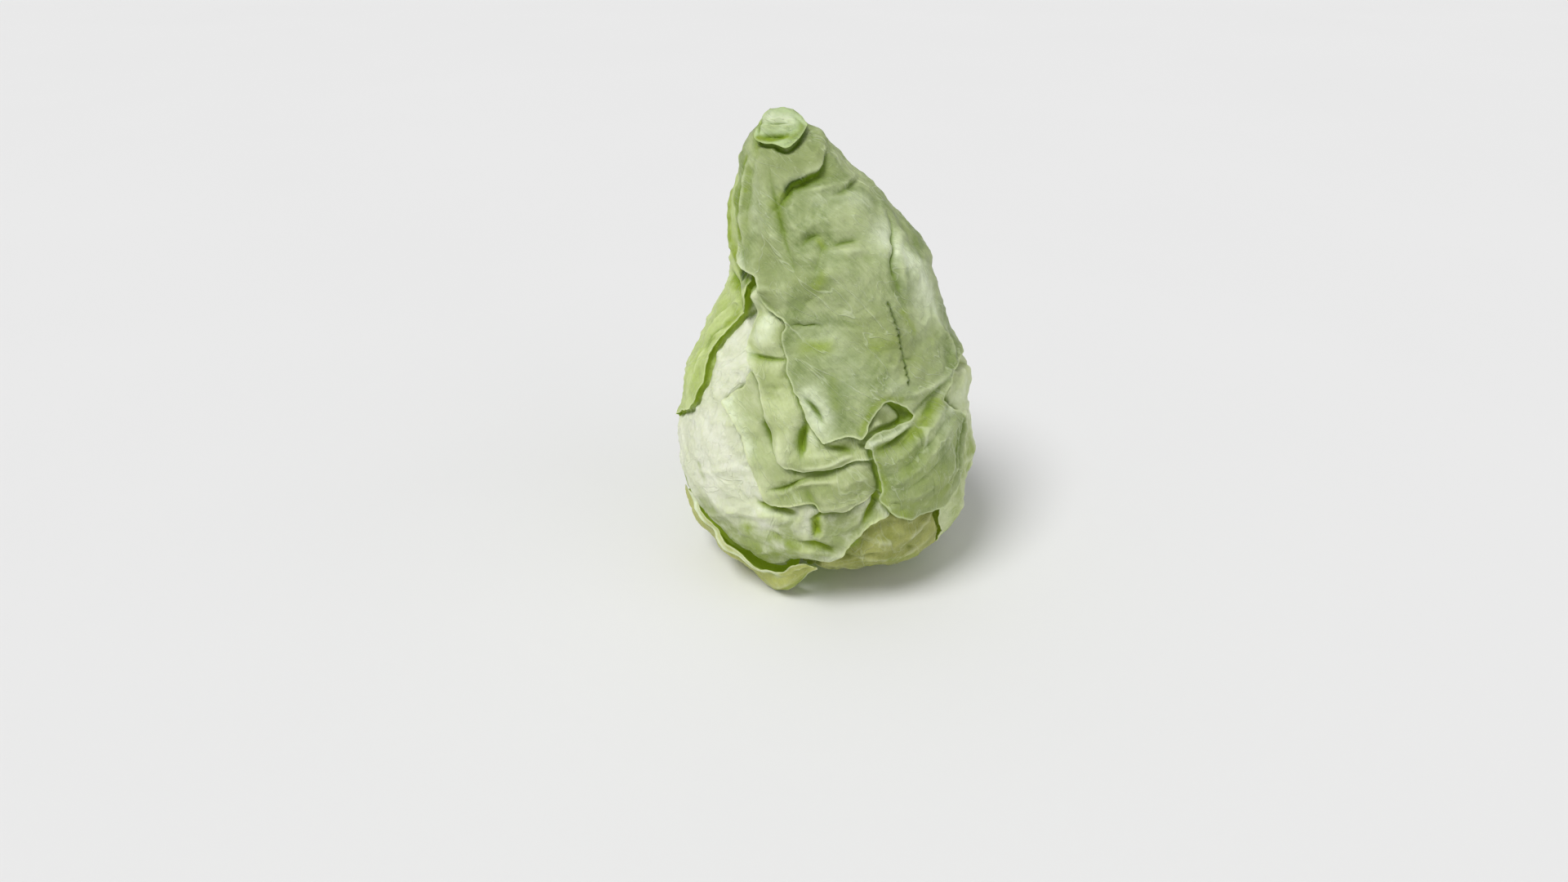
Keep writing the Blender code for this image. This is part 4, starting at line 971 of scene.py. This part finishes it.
def crease(points, places, size, width):
    """Depth of a narrow crease along a smooth line through the places."""
    distance, along, _ = distance_to_line(points, spline(places), CREASE_SPAN * width)
    rounded = np.hypot(distance, CREASE_ROUNDING) - CREASE_ROUNDING
    return size * ends(along) * np.exp(-rounded / width)


def row_of_pits(points, places, size, width):
    """Depth of a row of small pits along a smooth line through the places."""
    line = spline(places)
    distance, along, _ = distance_to_line(points, line, CREASE_SPAN * width)
    beads = np.maximum(np.sin(np.pi * len(line) * BEADS * along), 0)
    return size * beads * bell(distance / width)


def step_side(points, places, size, width, sign):
    """Height of one side of a stepped fold: + for its left side and - for its right side."""
    distance, along, side = distance_to_line(points, spline(places), STEP_SPAN * width)
    on_side = np.clip(0.5 + sign * side * distance / STEP_WIDTH, 0, 1)
    return size * ends(along) * on_side * np.exp(-distance / width)


def highest(points, heights):
    """The highest of several reliefs at each point, and at least 0."""
    return np.max([np.zeros(len(points)), *heights], axis=0)


def crease_depth(points, leaf):
    """How deep the leaf's creases, sunk fold sides and hollows go at each point."""
    depths = [crease(points, *row) for row in leaf.get("creases", [])]
    depths += [row_of_pits(points, *row) for row in leaf.get("pits", [])]
    for places, _, down, width in leaf.get("steps", []):
        depths.append(step_side(points, places, down, width, -1))
    depths.append(-swellings(points, [bump for bump in leaf.get("bumps", []) if bump[2] < 0]))
    return highest(points, depths)


def fold_height(points, leaf):
    """How high the leaf's ridges, raised fold sides and bumps stand at each point."""
    heights = [soft_fold(points, *row, STEP_SPAN) for row in leaf.get("ridges", [])]
    for places, up, _, width in leaf.get("steps", []):
        heights.append(step_side(points, places, up, width, 1))
    bumps = [bump for bump in leaf.get("bumps", []) if bump[2] > 0]
    return highest(points, heights) + swellings(points, bumps)


def tint_strength(points, rows):
    """How strongly a tint shows at each point, from its rows of places, width and strength."""
    strengths = []
    for places, width, most in rows:
        distance = distance_to_line(points, spline(places), SOFT_SPAN * width)[0]
        strengths.append(most * bell(distance / width))
    return highest(points, strengths)


def puckers(points, size_across, size_up, start):
    """Irregular soft waves from about -1 to 1, which look the same in every run."""
    scaled = points / (size_across, size_across, size_up) + start
    return np.array([noise.fractal(Vector(p), 1.0, 2.0, PUCKER_OCTAVES) for p in scaled.tolist()])


def shared_relief(azimuth, height_up, points):
    """Height of the waves, puckers, swellings and folds that every layer of leaves follows."""
    height = swellings(points, SWELLINGS)
    turn = np.radians(azimuth)
    half_turn = np.pi * height_up / TOP
    fade = np.clip((TOP - height_up) / WAVE_FADE_AT_TIP, 0, 1)
    fade *= np.clip((height_up - UNDERSIDE_END) / WAVE_FADE_AT_STEM, 0, 1)
    for size, around, up, phase in WAVES:
        wave = np.sin(around * turn + phase) * np.sin(up * half_turn + phase + turn)
        height += size * fade * wave
    for size, across, up, start in PUCKERS:
        height += size * fade * puckers(points, across, up, start)
    for size, mesh, narrow, start in WRINKLES:
        height += size * np.exp(-np.abs(puckers(points, mesh, mesh, start)) / narrow)
    for fold in FOLDS:
        height -= soft_fold(points, *fold)
    return height


def side_ribs(leaf):
    """Lines of the side ribs, which leave the main rib in pairs and curve upward."""
    spine = spline(leaf["rib"])
    margin = spline(leaf["margin"], closed=True)
    t = np.linspace(SIDE_RIB_FOOT, 1, SIDE_RIB_KNOTS)
    lines = []
    for share in SIDE_RIB_STARTS:
        azimuth, height = spine[int(share * (len(spine) - 1))]
        for side in (-1, 1):
            across = azimuth + side * SIDE_RIB_SPREAD * t
            line = np.stack([across, height + SIDE_RIB_RISE * t ** SIDE_RIB_BEND], -1)
            held = inside(line, margin)
            count = len(line) if held.all() else int(np.argmin(held))
            if count > SIDE_RIB_LEAST_KNOTS:
                lines.append(line[:count])
    return lines


def ridge(points, line, size, half_width, thinning):
    """Height of a rounded ridge along a line, which thins out towards its end."""
    distance, along, _ = distance_to_line(points, line, SOFT_SPAN * half_width)
    left = 1 - thinning * along
    return size * left * bell(distance / (half_width * (NARROWEST + (1 - NARROWEST) * left)))


def rib_height(points, leaf):
    """Height of the leaf's main rib and side ribs."""
    size = leaf.get("rib_height", RIB_HEIGHT)
    half_width = leaf.get("rib_half_width", RIB_HALF_WIDTH)
    heights = [ridge(points, spline(leaf["rib"]), size, half_width, RIB_THINNING)]
    for line in side_ribs(leaf):
        side = ridge(points, line, SIDE_RIB_HEIGHT, SIDE_RIB_HALF_WIDTH, SIDE_RIB_THINNING)
        heights.append(side)
    return highest(points, heights)


def nearest(points, line):
    """Distance from each point to the nearest place of a line, and how far along that is."""
    tree = KDTree(len(line))
    for i, point in enumerate(envelope(*line.T)[0]):
        tree.insert(point, i)
    tree.balance()
    found = [tree.find(point) for point in points]
    distance = np.array([hit[2] for hit in found])
    return distance, np.array([hit[1] for hit in found]) / len(line)


def margin_lift(leaf, height_up, distance, around, length):
    """How far the leaf stands off near its margin, in soft waves along it."""
    waves = round(length / MARGIN_WAVE)
    drift = WAVE_DRIFT * np.sin(2 * np.pi * WAVE_DRIFT_TURNS * around)
    wave = np.maximum(np.sin(2 * np.pi * waves * around + drift), 0)
    size = leaf.get("margin_lift", MARGIN_LIFT) * np.clip(height_up / LIFT_FADE_HEIGHT, 0, 1)
    return size * (LEAST_LIFT + (1 - LEAST_LIFT) * wave) * bell(distance / MARGIN_REACH)


def margin_groove(points, number):
    """How deep the margins of the leaves outside this one press into it."""
    outside = [nearest(points, leaf_margin(outer))[0] for outer in LEAVES[number + 1:]]
    return highest(points, [GROOVE_DEPTH * bell(distance / GROOVE_WIDTH) for distance in outside])


GRID_AZ_STEP = 360.0 / GRID_AZIMUTHS
GRID_AZ = np.arange(GRID_AZIMUTHS) * GRID_AZ_STEP - 180.0
GRID_H = np.linspace(UNDERSIDE_END, TOP, GRID_HEIGHTS)
GRID_H_STEP = (TOP - UNDERSIDE_END) / (GRID_HEIGHTS - 1)


def windows(reach):
    """Half-width in grid steps of a window of this reach, round each ring and upward."""
    ring = 2 * np.pi * np.maximum(radius_at(GRID_H), LEAST_RING_RADIUS) / GRID_AZIMUTHS
    around = np.minimum(np.ceil(reach / ring), GRID_AZIMUTHS // 2).astype(int)
    return around, int(np.ceil(reach / GRID_H_STEP))


def wrapped(row, n):
    """A ring of the grid that runs on by n steps past either end."""
    return np.concatenate([row[-n:], row, row[:n]]) if n else row


def levels(rows, up):
    """The grid moved up and down by each number of steps up to this one."""
    padded = np.pad(np.array(rows), ((up, up), (0, 0)), mode="edge")
    return [padded[k:k + GRID_HEIGHTS] for k in range(2 * up + 1)]


def window_weights(n):
    """Weights of a window of half-width n, largest in its middle, that add up to 1."""
    weights = 1 + np.cos(np.pi * np.arange(-n, n + 1) / (n + 1))
    return weights / weights.sum()


def spread(grid, reach):
    """The highest value within reach of each place of the grid."""
    around, up = windows(reach)
    view = np.lib.stride_tricks.sliding_window_view
    rows = [view(wrapped(row, n), 2 * n + 1).max(axis=1) for row, n in zip(grid, around)]
    return np.max(levels(rows, up), axis=0)


def soften(grid, reach):
    """The mean within reach of each place of the grid, weighted to its middle."""
    around, up = windows(reach)
    rows = [np.convolve(wrapped(row, n), window_weights(n), "valid") for row, n in zip(grid, around)]
    return sum(weight * level for weight, level in zip(window_weights(up), levels(rows, up)))


def read_grid(grid, azimuth, height):
    """Value of the grid at any place, between its points."""
    column = np.mod((azimuth - GRID_AZ[0]) / GRID_AZ_STEP, GRID_AZIMUTHS)
    row = np.clip((height - UNDERSIDE_END) / GRID_H_STEP, 0, GRID_HEIGHTS - 1 - GRID_END)
    left = column.astype(int) % GRID_AZIMUTHS
    low = row.astype(int)
    right = (left + 1) % GRID_AZIMUTHS
    u = column - np.floor(column)
    v = row - low
    lower = grid[low, left] * (1 - u) + grid[low, right] * u
    upper = grid[low + 1, left] * (1 - u) + grid[low + 1, right] * u
    return lower * (1 - v) + upper * v


def pile_leaves():
    """How far each leaf stands out from the mean surface, where it shows, and its soft form."""
    az, h = np.meshgrid(GRID_AZ, GRID_H)
    places = np.stack([az.ravel(), h.ravel()], -1)
    points = envelope(*places.T)[0]
    top = np.zeros(az.shape)
    for turn in HEART_TURNS:
        line = spline([(azimuth + turn, height) for azimuth, height in HEART_LEAF], closed=True)
        top += HEART_STEP * inside(places, line).reshape(az.shape)
    top = soften(top, DRAPE_REACH)
    heart = top
    layers = []
    covers = []
    reliefs = []
    for leaf in LEAVES:
        margin = leaf_margin(leaf)
        covers.append(inside(places, margin).reshape(az.shape))
        rest = soften(spread(top, DRAPE_REACH), DRAPE_REACH) + LEAF_THICKNESS + LEAF_GAP
        layers.append(rest + swellings(points, leaf.get("lifts", [])).reshape(az.shape))
        relief = rib_height(points, leaf) + fold_height(points, leaf)
        relief += margin_lift(leaf, h.ravel(), *nearest(points, margin), len(margin) * SPACING)
        reliefs.append(relief.reshape(az.shape))
        top = np.where(covers[-1], layers[-1] + reliefs[-1], top)
    mean = soften(top, SETTLE_REACH)
    shows = []
    forms = []
    above = np.zeros(az.shape, bool)
    shared = shared_relief(*places.T, points)
    pressed = np.zeros(len(points))
    for number in reversed(range(len(LEAVES))):
        shows.insert(0, spread((covers[number] & ~above).astype(float), HIDDEN_REACH))
        above |= covers[number]
        pressed = np.maximum(pressed, crease_depth(points, LEAVES[number]))
        form = (shared - pressed).reshape(az.shape) + layers[number] - mean + reliefs[number]
        forms.insert(0, soften(form, CREST_REACH))
    return heart - mean, [layer - mean for layer in layers], shows, forms


def lattice(spacing):
    """Places spread evenly over the whole head."""
    heights = np.linspace(UNDERSIDE_END, TOP, CHART_STEPS)
    length = np.hypot(np.diff(radius_at(heights)), np.diff(level_at(heights)))
    along = running_total(length / fineness(0, heights[1:]))
    rows = int(along[-1] / (spacing * ROW_SPACING))
    places = []
    for i, height in enumerate(np.interp(np.linspace(0, along[-1], rows), along, heights)):
        facet = spacing * fineness(0, height)
        count = max(int(round(2 * np.pi * radius_at(height) / facet)), 1)
        azimuth = (np.arange(count) + (i % 2) / 2) * 360.0 / count - 180.0
        places.append(np.stack([azimuth, np.full(count, height)], -1))
    return np.vstack(places)


FINE_LATTICE = lattice(SPACING)
COARSE_LATTICE = lattice(HIDDEN_SPACING)


def apart(places, kept):
    """The places that are not too close to those already kept."""
    distance = nearest(envelope(*places.T)[0], kept)[0]
    return places[distance > CLOSEST_SHARE * SPACING * fineness(*places.T)]


def thinned(places):
    """The places with at most one in each small cell, so that no two nearly meet."""
    cells = np.floor(envelope(*places.T)[0] / (CELL_SHARE * SPACING)).astype(int)
    _, first = np.unique(cells, axis=0, return_index=True)
    return places[np.sort(first)]


def detail_rows(leaf):
    """Rows of places along the leaf's fold lines and ribs, and close beside them."""
    lines = [leaf["rib"], *side_ribs(leaf)]
    for kind in ("creases", "ridges", "steps", "pits"):
        lines += [places for places, *_ in leaf.get(kind, [])]
    rows = []
    for places in lines:
        line = spline(places, step=SPACING)
        rows += [line, shifted(line, ROW_OFFSET), shifted(line, -ROW_OFFSET)]
    return thinned(np.vstack(rows))


def leaf_sheet(leaf, shows):
    """Places and triangles of a leaf: its margin, its fold lines and the lattices."""
    margin = leaf_margin(leaf)
    beside = np.vstack([shifted(margin, offset, closed=True) for offset in (ROW_OFFSET, -ROW_OFFSET)])
    visible = FINE_LATTICE[read_grid(shows, *FINE_LATTICE.T) > 0.5]
    hidden = COARSE_LATTICE[read_grid(shows, *COARSE_LATTICE.T) <= 0.5]
    places = margin
    for more in (thinned(beside), detail_rows(leaf), visible, hidden):
        more = more[(more[:, 1] > LEAF_END + END_CLEARANCE) & (more[:, 1] < TOP)]
        more = more[inside(more, margin)]
        places = np.vstack([places, apart(more, places)])
    flat = [Vector(point) for point in chart(*places.T)]
    result = delaunay_2d_cdt(flat, [], [list(range(len(margin)))], 1, ALMOST_ZERO)
    order = np.array([source[0] for source in result[3]])
    ring = np.argsort(order)[:len(margin)]
    return places[order], np.array(result[2]), ring, margin


def leaf_coordinates(places, leaf):
    """Millimetres across from the leaf's main rib at each place."""
    rib = spline(leaf["rib"])
    azimuths = np.array(leaf["margin"])[:, 0]
    middle = (azimuths.min() + azimuths.max()) / 2
    azimuth = middle + np.mod(places[:, 0] - middle + 180, 360) - 180
    rib_azimuth = np.interp(places[:, 1], rib[:, 1], rib[:, 0])
    return np.radians(azimuth - rib_azimuth) * radius_at(places[:, 1])


def placed(name, data):
    """A new object of the scene with this data."""
    item = bpy.data.objects.new(name, data)
    bpy.context.scene.collection.objects.link(item)
    return item


def mesh_object(name, points, faces, values, material, flat_rims=True):
    """A smooth-shaded object from points in millimetres, with a value at each point."""
    data = bpy.data.meshes.new(name)
    data.from_pydata((points + (CENTRE_X, CENTRE_Y, 0)) * MM, [], faces)
    data.shade_smooth()
    if flat_rims:
        data.set_sharp_from_angle(angle=math.radians(SHARP_ANGLE))
    for label, value in values.items():
        kind, field = ("FLOAT_VECTOR", "vector") if value.ndim == 2 else ("FLOAT", "value")
        attribute = data.attributes.new(label, kind, "POINT")
        attribute.data.foreach_set(field, value.astype(np.float32).ravel())
    data.materials.append(material)
    data.update()
    return placed(name, data)


def laid_on_floor(points, clearance):
    """The points with those too low raised to the clearance, and spread outward instead."""
    sunk = np.maximum(clearance - points[:, 2], 0)
    points = points + unit(points * (1.0, 1.0, 0.0)) * (FLOOR_SPREAD * sunk)[:, None]
    points[:, 2] += sunk
    return points


def leaf_form(number, rise, shows, form):
    """Points, faces and values for the colours of one fine leaf, as a closed sheet."""
    leaf = LEAVES[number]
    places, triangles, ring, margin = leaf_sheet(leaf, shows)
    points, normals = envelope(*places.T)
    height = shared_relief(*places.T, points)
    height += read_grid(rise, *places.T)
    hollow = np.max([crease_depth(points, outer) for outer in LEAVES[number:]], axis=0)
    height -= hollow + margin_groove(points, number)
    distance, around = nearest(points, margin)
    height += fold_height(points, leaf)
    height += margin_lift(leaf, places[:, 1], distance, around, len(margin) * SPACING)
    ribs = rib_height(points, leaf)
    taper = np.clip(distance / EDGE_TAPER, 0, 1)
    thickness = EDGE_THICKNESS + (LEAF_THICKNESS - EDGE_THICKNESS) * taper
    outer = laid_on_floor(points + normals * (height + ribs)[:, None], FLOOR_CLEARANCE)
    inner = points + normals * (height - thickness)[:, None]
    inner = laid_on_floor(inner, FLOOR_CLEARANCE + thickness)
    count = len(outer)
    after = np.roll(ring, -1)
    rim = np.vstack([
        np.stack([ring, ring + count, after], -1),
        np.stack([after, ring + count, after + count], -1),
    ])
    across = leaf_coordinates(places, leaf)
    place = np.stack([across, places[:, 1], np.full(count, LAYER_STEP * number)], -1)
    # crest and hollow also say where highlights and shade are painted in the material
    values = {
        "crest": np.tile(height + ribs - read_grid(form, *places.T), 2),
        "rib": np.concatenate([ribs, np.zeros(count)]),
        "edge": np.tile(distance, 2),
        "hollow": np.tile(hollow, 2),
        "place": np.tile(place, (2, 1)),
    }
    for tint in TINTS:
        values[tint] = np.tile(tint_strength(points, leaf["tints"].get(tint, [])), 2)
    return dict(
        outer=outer, inner=inner, normals=normals, values=values,
        seen=read_grid(shows, *places.T) > 0.5,
        faces=np.vstack([triangles, triangles[:, ::-1] + count, rim]),
    )


def shelter_tree(forms):
    """A search tree of all the leaves' faces."""
    points = []
    faces = []
    for form in forms:
        faces += (form["faces"] + len(points)).tolist()
        points += np.vstack([form["outer"], form["inner"]]).tolist()
    return BVHTree.FromPolygons(points, faces)


def shelter(form, tree):
    """How closed in each point is by leaves near it: 0 in the open, towards 1 in a gap. Shade and a glow
    are painted where it is high.
    """
    count = len(form["outer"])
    seen = np.flatnonzero(form["seen"])
    normals = form["normals"][seen]
    across = unit(np.cross(normals, (0.0, 0.0, 1.0)))
    along = np.cross(normals, across)
    starts = (form["outer"][seen] + normals * SHELTER_START).tolist()
    blocked = np.zeros(len(seen))
    for ray in range(SHELTER_RAYS):
        up = math.sqrt(1 - (ray + 0.5) / SHELTER_RAYS)
        turn = ray * GOLDEN_ANGLE
        flat = math.sqrt(1 - up * up)
        rays = flat * math.cos(turn) * across + flat * math.sin(turn) * along + up * normals
        for i, (start, direction) in enumerate(zip(starts, rays.tolist())):
            found = tree.ray_cast(start, direction, SHELTER_REACH)[3]
            if found is not None:
                blocked[i] += 1 - found / SHELTER_REACH
    # Hidden points count as fully sheltered and undersides as mostly so, and both get painted shade
    outside = np.ones(count)
    outside[seen] = blocked / SHELTER_RAYS
    return np.concatenate([outside, np.full(count, UNDERSIDE_SHELTER)])


def band_faces(sides, rings, first=0):
    """Faces between rings of points that follow one another from the first point on."""
    faces = []
    for start in range(first, first + (rings - 1) * sides, sides):
        for k in range(sides):
            a, b = start + k, start + (k + 1) % sides
            faces.append((a, b, b + sides, a + sides))
    return faces


def heart_object(rise):
    """The tight heart inside the leaves."""
    turns = np.arange(HEART_SIDES) * 360.0 / HEART_SIDES - 180.0
    azimuth, height = np.meshgrid(turns, np.linspace(HEART_START, HEART_END, HEART_RINGS))
    azimuth = azimuth.ravel()
    height = height.ravel()
    points, normals = envelope(azimuth, height)
    depth = np.max([crease_depth(points, leaf) for leaf in LEAVES], axis=0)
    offset = shared_relief(azimuth, height, points) + read_grid(rise, azimuth, height) - HEART_GAP
    points = points + normals * (offset - depth)[:, None]
    points[:, 2] = np.maximum(points[:, 2], HEART_FLOOR)
    bottom = tuple(reversed(range(HEART_SIDES)))
    top = tuple(range(len(points) - HEART_SIDES, len(points)))
    faces = band_faces(HEART_SIDES, HEART_RINGS) + [bottom, top]
    zero = np.zeros(len(points))
    values = {label: zero for label in ("crest", "rib", "hollow", *TINTS)}
    values["edge"] = zero + HEART_EDGE
    # The heart is painted wholly in shade, with the full painted glow
    values["shelter"] = zero + 1.0
    across = np.radians(azimuth) * radius_at(height)
    values["place"] = np.stack([across, height, zero + HEART_LAYER], -1)
    return mesh_object("heart_fine", points, faces, values, leaf_material("heart"), False)


def stem_object():
    """The cut stem, a little uneven round its side, with a flat cut face below."""
    turn = np.arange(STEM_SIDES) * 2 * np.pi / STEM_SIDES
    round_side = np.ones(STEM_SIDES)
    uneven = round_side - STEM_SHRINK
    for size, waves, phase in STEM_WAVES:
        uneven = uneven + size * np.sin(waves * turn + phase)
    rings = [[(0.0, 0.0, 0.0)]]
    for share, level in STEM_PROFILE:
        radius = STEM_RADIUS * share * (uneven if share > STEM_ROUND_SHARE else round_side)
        rings.append(np.stack([radius * np.sin(turn), -radius * np.cos(turn), 0 * turn + level], -1))
    points = np.vstack([*rings, [(0.0, 0.0, STEM_END)]])
    faces = band_faces(STEM_SIDES, len(STEM_PROFILE), 1)
    last = len(points) - 1
    top = last - STEM_SIDES
    for k in range(STEM_SIDES):
        after = (k + 1) % STEM_SIDES
        faces += [(0, 1 + after, 1 + k), (top + k, top + after, last)]
    return mesh_object("stem_fine", points, faces, {}, stem_material())


class Nodes:
    """Short calls that add nodes to one material."""

    def __init__(self, name):
        """Start a material with a plain shader."""
        self.material = bpy.data.materials.new(name)
        self.material.use_nodes = True
        self.tree = self.material.node_tree
        self.at = self.tree.nodes.new("ShaderNodeTexCoord").outputs["Object"]

    def link(self, value, socket):
        """Set a socket to a plain value, or link it to another node's output."""
        if isinstance(value, bpy.types.NodeSocket):
            self.tree.links.new(value, socket)
        else:
            socket.default_value = value

    def shader(self, **values):
        """Give the shader its values, each named like its socket, with _ for a space."""
        inputs = self.tree.nodes["Principled BSDF"].inputs
        for name, value in values.items():
            self.link(value, inputs[name.replace("_", " ")])
        return self.material

    def add(self, kind, inputs, output=0, **settings):
        """A new node with these inputs and settings, as one of its outputs."""
        node = self.tree.nodes.new("ShaderNode" + kind)
        for name, value in settings.items():
            setattr(node, name, value)
        for name, value in inputs.items():
            self.link(value, node.inputs[name])
        return node.outputs[output]

    def attribute(self, label, output="Fac"):
        """A value that the mesh carries at its points."""
        return self.add("Attribute", {}, output, attribute_name=label)

    def stretch(self, vector, scale):
        """A place with each of its axes scaled."""
        return self.add("VectorMath", {0: vector, 1: scale}, operation="MULTIPLY")

    def noise(self, vector, detail, roughness, scale=1.0, distortion=0.0):
        """A noise over the given places."""
        inputs = {"Vector": vector, "Scale": scale, "Detail": detail}
        inputs.update({"Roughness": roughness, "Distortion": distortion})
        return self.add("TexNoise", inputs, "Fac")

    def between(self, value, low, high, least=0.0, most=1.0):
        """Map low..high smoothly to least..most, and hold it beyond them."""
        inputs = {"Value": value, "From Min": low, "From Max": high, "To Min": least, "To Max": most}
        return self.add("MapRange", inputs, "Result", interpolation_type="SMOOTHSTEP")

    def pattern(self, vector, low, high, least=0.0, most=1.0, **kind):
        """A noise with its values low..high mapped to least..most."""
        return self.between(self.noise(vector, **kind), low, high, least, most)

    def math(self, operation, a, b=0.0):
        """The result of one operation on two values."""
        return self.add("Math", {0: a, 1: b}, operation=operation)

    def times(self, a, b):
        """The product of two values."""
        return self.math("MULTIPLY", a, b)

    def shares(self, patterns, shares):
        """The sum of the patterns, each at its share."""
        total = 0.0
        for name, share in shares.items():
            total = self.math("ADD", total, self.times(patterns[name], share))
        return total

    def mix(self, factor, a, b):
        """Colour a where the factor is 0, colour b where it is 1."""
        a, b = [(*tone, 1.0) if isinstance(tone, tuple) else tone for tone in (a, b)]
        inputs = {"Factor": factor, MIX_FIRST_COLOR: a, MIX_SECOND_COLOR: b}
        return self.add("Mix", inputs, MIX_RESULT_COLOR, data_type="RGBA")

    def bump(self, height, strength, distance):
        """A normal that shows the height as fine relief."""
        return self.add("Bump", {"Strength": strength, "Distance": distance, "Height": height})

    def vein(self, place, stretch, kind, width, strength):
        """Thin lines where a stretched noise passes its middle value."""
        wander = self.noise(self.stretch(place, stretch), **kind)
        off = self.math("ABSOLUTE", self.math("SUBTRACT", wander, NOISE_MIDDLE))
        return self.between(off, 0.0, width, strength, 0.0)


def leaf_material(name):
    """Waxy leaf: blotched green with fine veins, local tints, painted shade in its folds and gaps,
    painted highlights on its crests, and a painted glow in its gaps.
    """
    look = LOOKS[name]
    tones = {**look, "rib": PALE_RIB}
    n = Nodes(name + "_leaf")
    place = n.attribute("place", "Vector")
    patterns = {
        "blotches": n.pattern(n.at, **BLOTCHES),
        "speckle": n.pattern(n.at, **SPECKLE),
        "streaks": n.pattern(n.stretch(place, STREAK_STRETCH), **STREAKS),
        "vein": n.math("MAXIMUM", *[n.vein(place, *vein) for vein in VEINS]),
    }
    color = n.mix(n.shares(patterns, GROUND), look["dark"], look["light"])
    uneven = n.pattern(n.at, **UNEVEN)
    # Local tints, some of them painted shade and painted highlights
    for tint, tone in TINTS.items():
        color = n.mix(n.between(n.times(n.attribute(tint), uneven), 0.0, 1.0), color, tone)
    paleness = VEIN_PALENESS.get(name, USUAL_PALENESS)
    color = n.mix(n.times(patterns["vein"], paleness), color, TINTS["pale"])
    for label, low, high, least, most, tone in OVERLAYS:
        color = n.mix(n.between(n.attribute(label), low, high, least, most), color, tones[tone])
    return n.shader(
        Base_Color=color,
        Roughness=n.between(patterns["blotches"], 0.0, 1.0, *LEAF_ROUGHNESS),
        Normal=n.bump(n.shares(patterns, RELIEF), *LEAF_BUMP),
        # Painted glow: sheltered places glow in the shade colour, darker where the deep tint lies
        Emission_Color=n.mix(n.attribute("deep"), look["shade"], TINTS["deep"]),
        Emission_Strength=n.between(n.attribute("shelter"), *PAINTED_GLOW_SHELTER, 0.0, PAINTED_GLOW),
        **LEAF_SHADER,
    )


def stem_material():
    """Cut stem: pale fibres, with browned patches over them."""
    n = Nodes("stem_cut")
    fibres = n.noise(n.at, **STEM_FIBRES)
    browned = n.times(n.pattern(n.at, **STEM_PATCHES), STEM_BROWNING)
    color = n.mix(browned, n.mix(fibres, *STEM_TONES), STEM_BROWN)
    return n.shader(Base_Color=color, Normal=n.bump(fibres, *STEM_BUMP), Roughness=STEM_ROUGHNESS)


def floor_object():
    """A plain pale floor."""
    data = bpy.data.meshes.new("floor")
    sides = [(-1, -1), (1, -1), (1, 1), (-1, 1)]
    corners = [(x * FLOOR_HALF, y * FLOOR_HALF, FLOOR_LEVEL) for x, y in sides]
    data.from_pydata(corners, [], [(0, 1, 2, 3)])
    n = Nodes("floor")
    tone = n.mix(n.noise(n.at, **FLOOR_PATTERN), *FLOOR_TONES)
    data.materials.append(n.shader(Base_Color=tone, **FLOOR_SHADER))
    placed("floor", data)


def light_and_camera():
    """Soft studio light, and the camera where the photo's camera stood."""
    world = bpy.data.worlds.new("studio")
    world.use_nodes = True
    background = world.node_tree.nodes["Background"]
    background.inputs["Color"].default_value = (1.0, 1.0, 1.0, 1.0)
    background.inputs["Strength"].default_value = EVEN_LIGHT
    scene = bpy.context.scene
    scene.world = world
    for name, (energy, softness, direction) in SUNS.items():
        sun = bpy.data.lights.new(name, "SUN")
        sun.energy = energy
        sun.angle = math.radians(softness)
        placed(name, sun).rotation_euler = Vector(direction).to_track_quat("-Z", "Y").to_euler()
    lens = bpy.data.cameras.new("camera")
    lens.sensor_width = CAMERA_SENSOR
    lens.lens = CAMERA_LENS
    camera = placed("camera", lens)
    place = Vector((CENTRE_X - CAMERA_ASIDE, CENTRE_Y - CAMERA_DISTANCE, CAMERA_HEIGHT))
    camera.location = place * MM
    camera.rotation_euler = (math.radians(CAMERA_TILT), 0, 0)
    scene.camera = camera
    scene.view_settings.view_transform = "Standard"


def build():
    """Put the fine pieces in place of the solids."""
    heart_rise, rises, shows, soft_forms = pile_leaves()
    pieces = {"stem": stem_object(), "heart": heart_object(heart_rise)}
    forms = [leaf_form(i, rises[i], shows[i], soft_forms[i]) for i in range(len(LEAVES))]
    tree = shelter_tree(forms)
    for leaf, form in zip(LEAVES, forms):
        form["values"]["shelter"] = shelter(form, tree)
        points = np.vstack([form["outer"], form["inner"]])
        name = leaf["name"]
        material = leaf_material(name)
        pieces[name] = mesh_object(name + "_fine", points, form["faces"], form["values"], material)
    for node, piece in pieces.items():
        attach(piece, "root")
        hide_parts(node)


build()
floor_object()
light_and_camera()
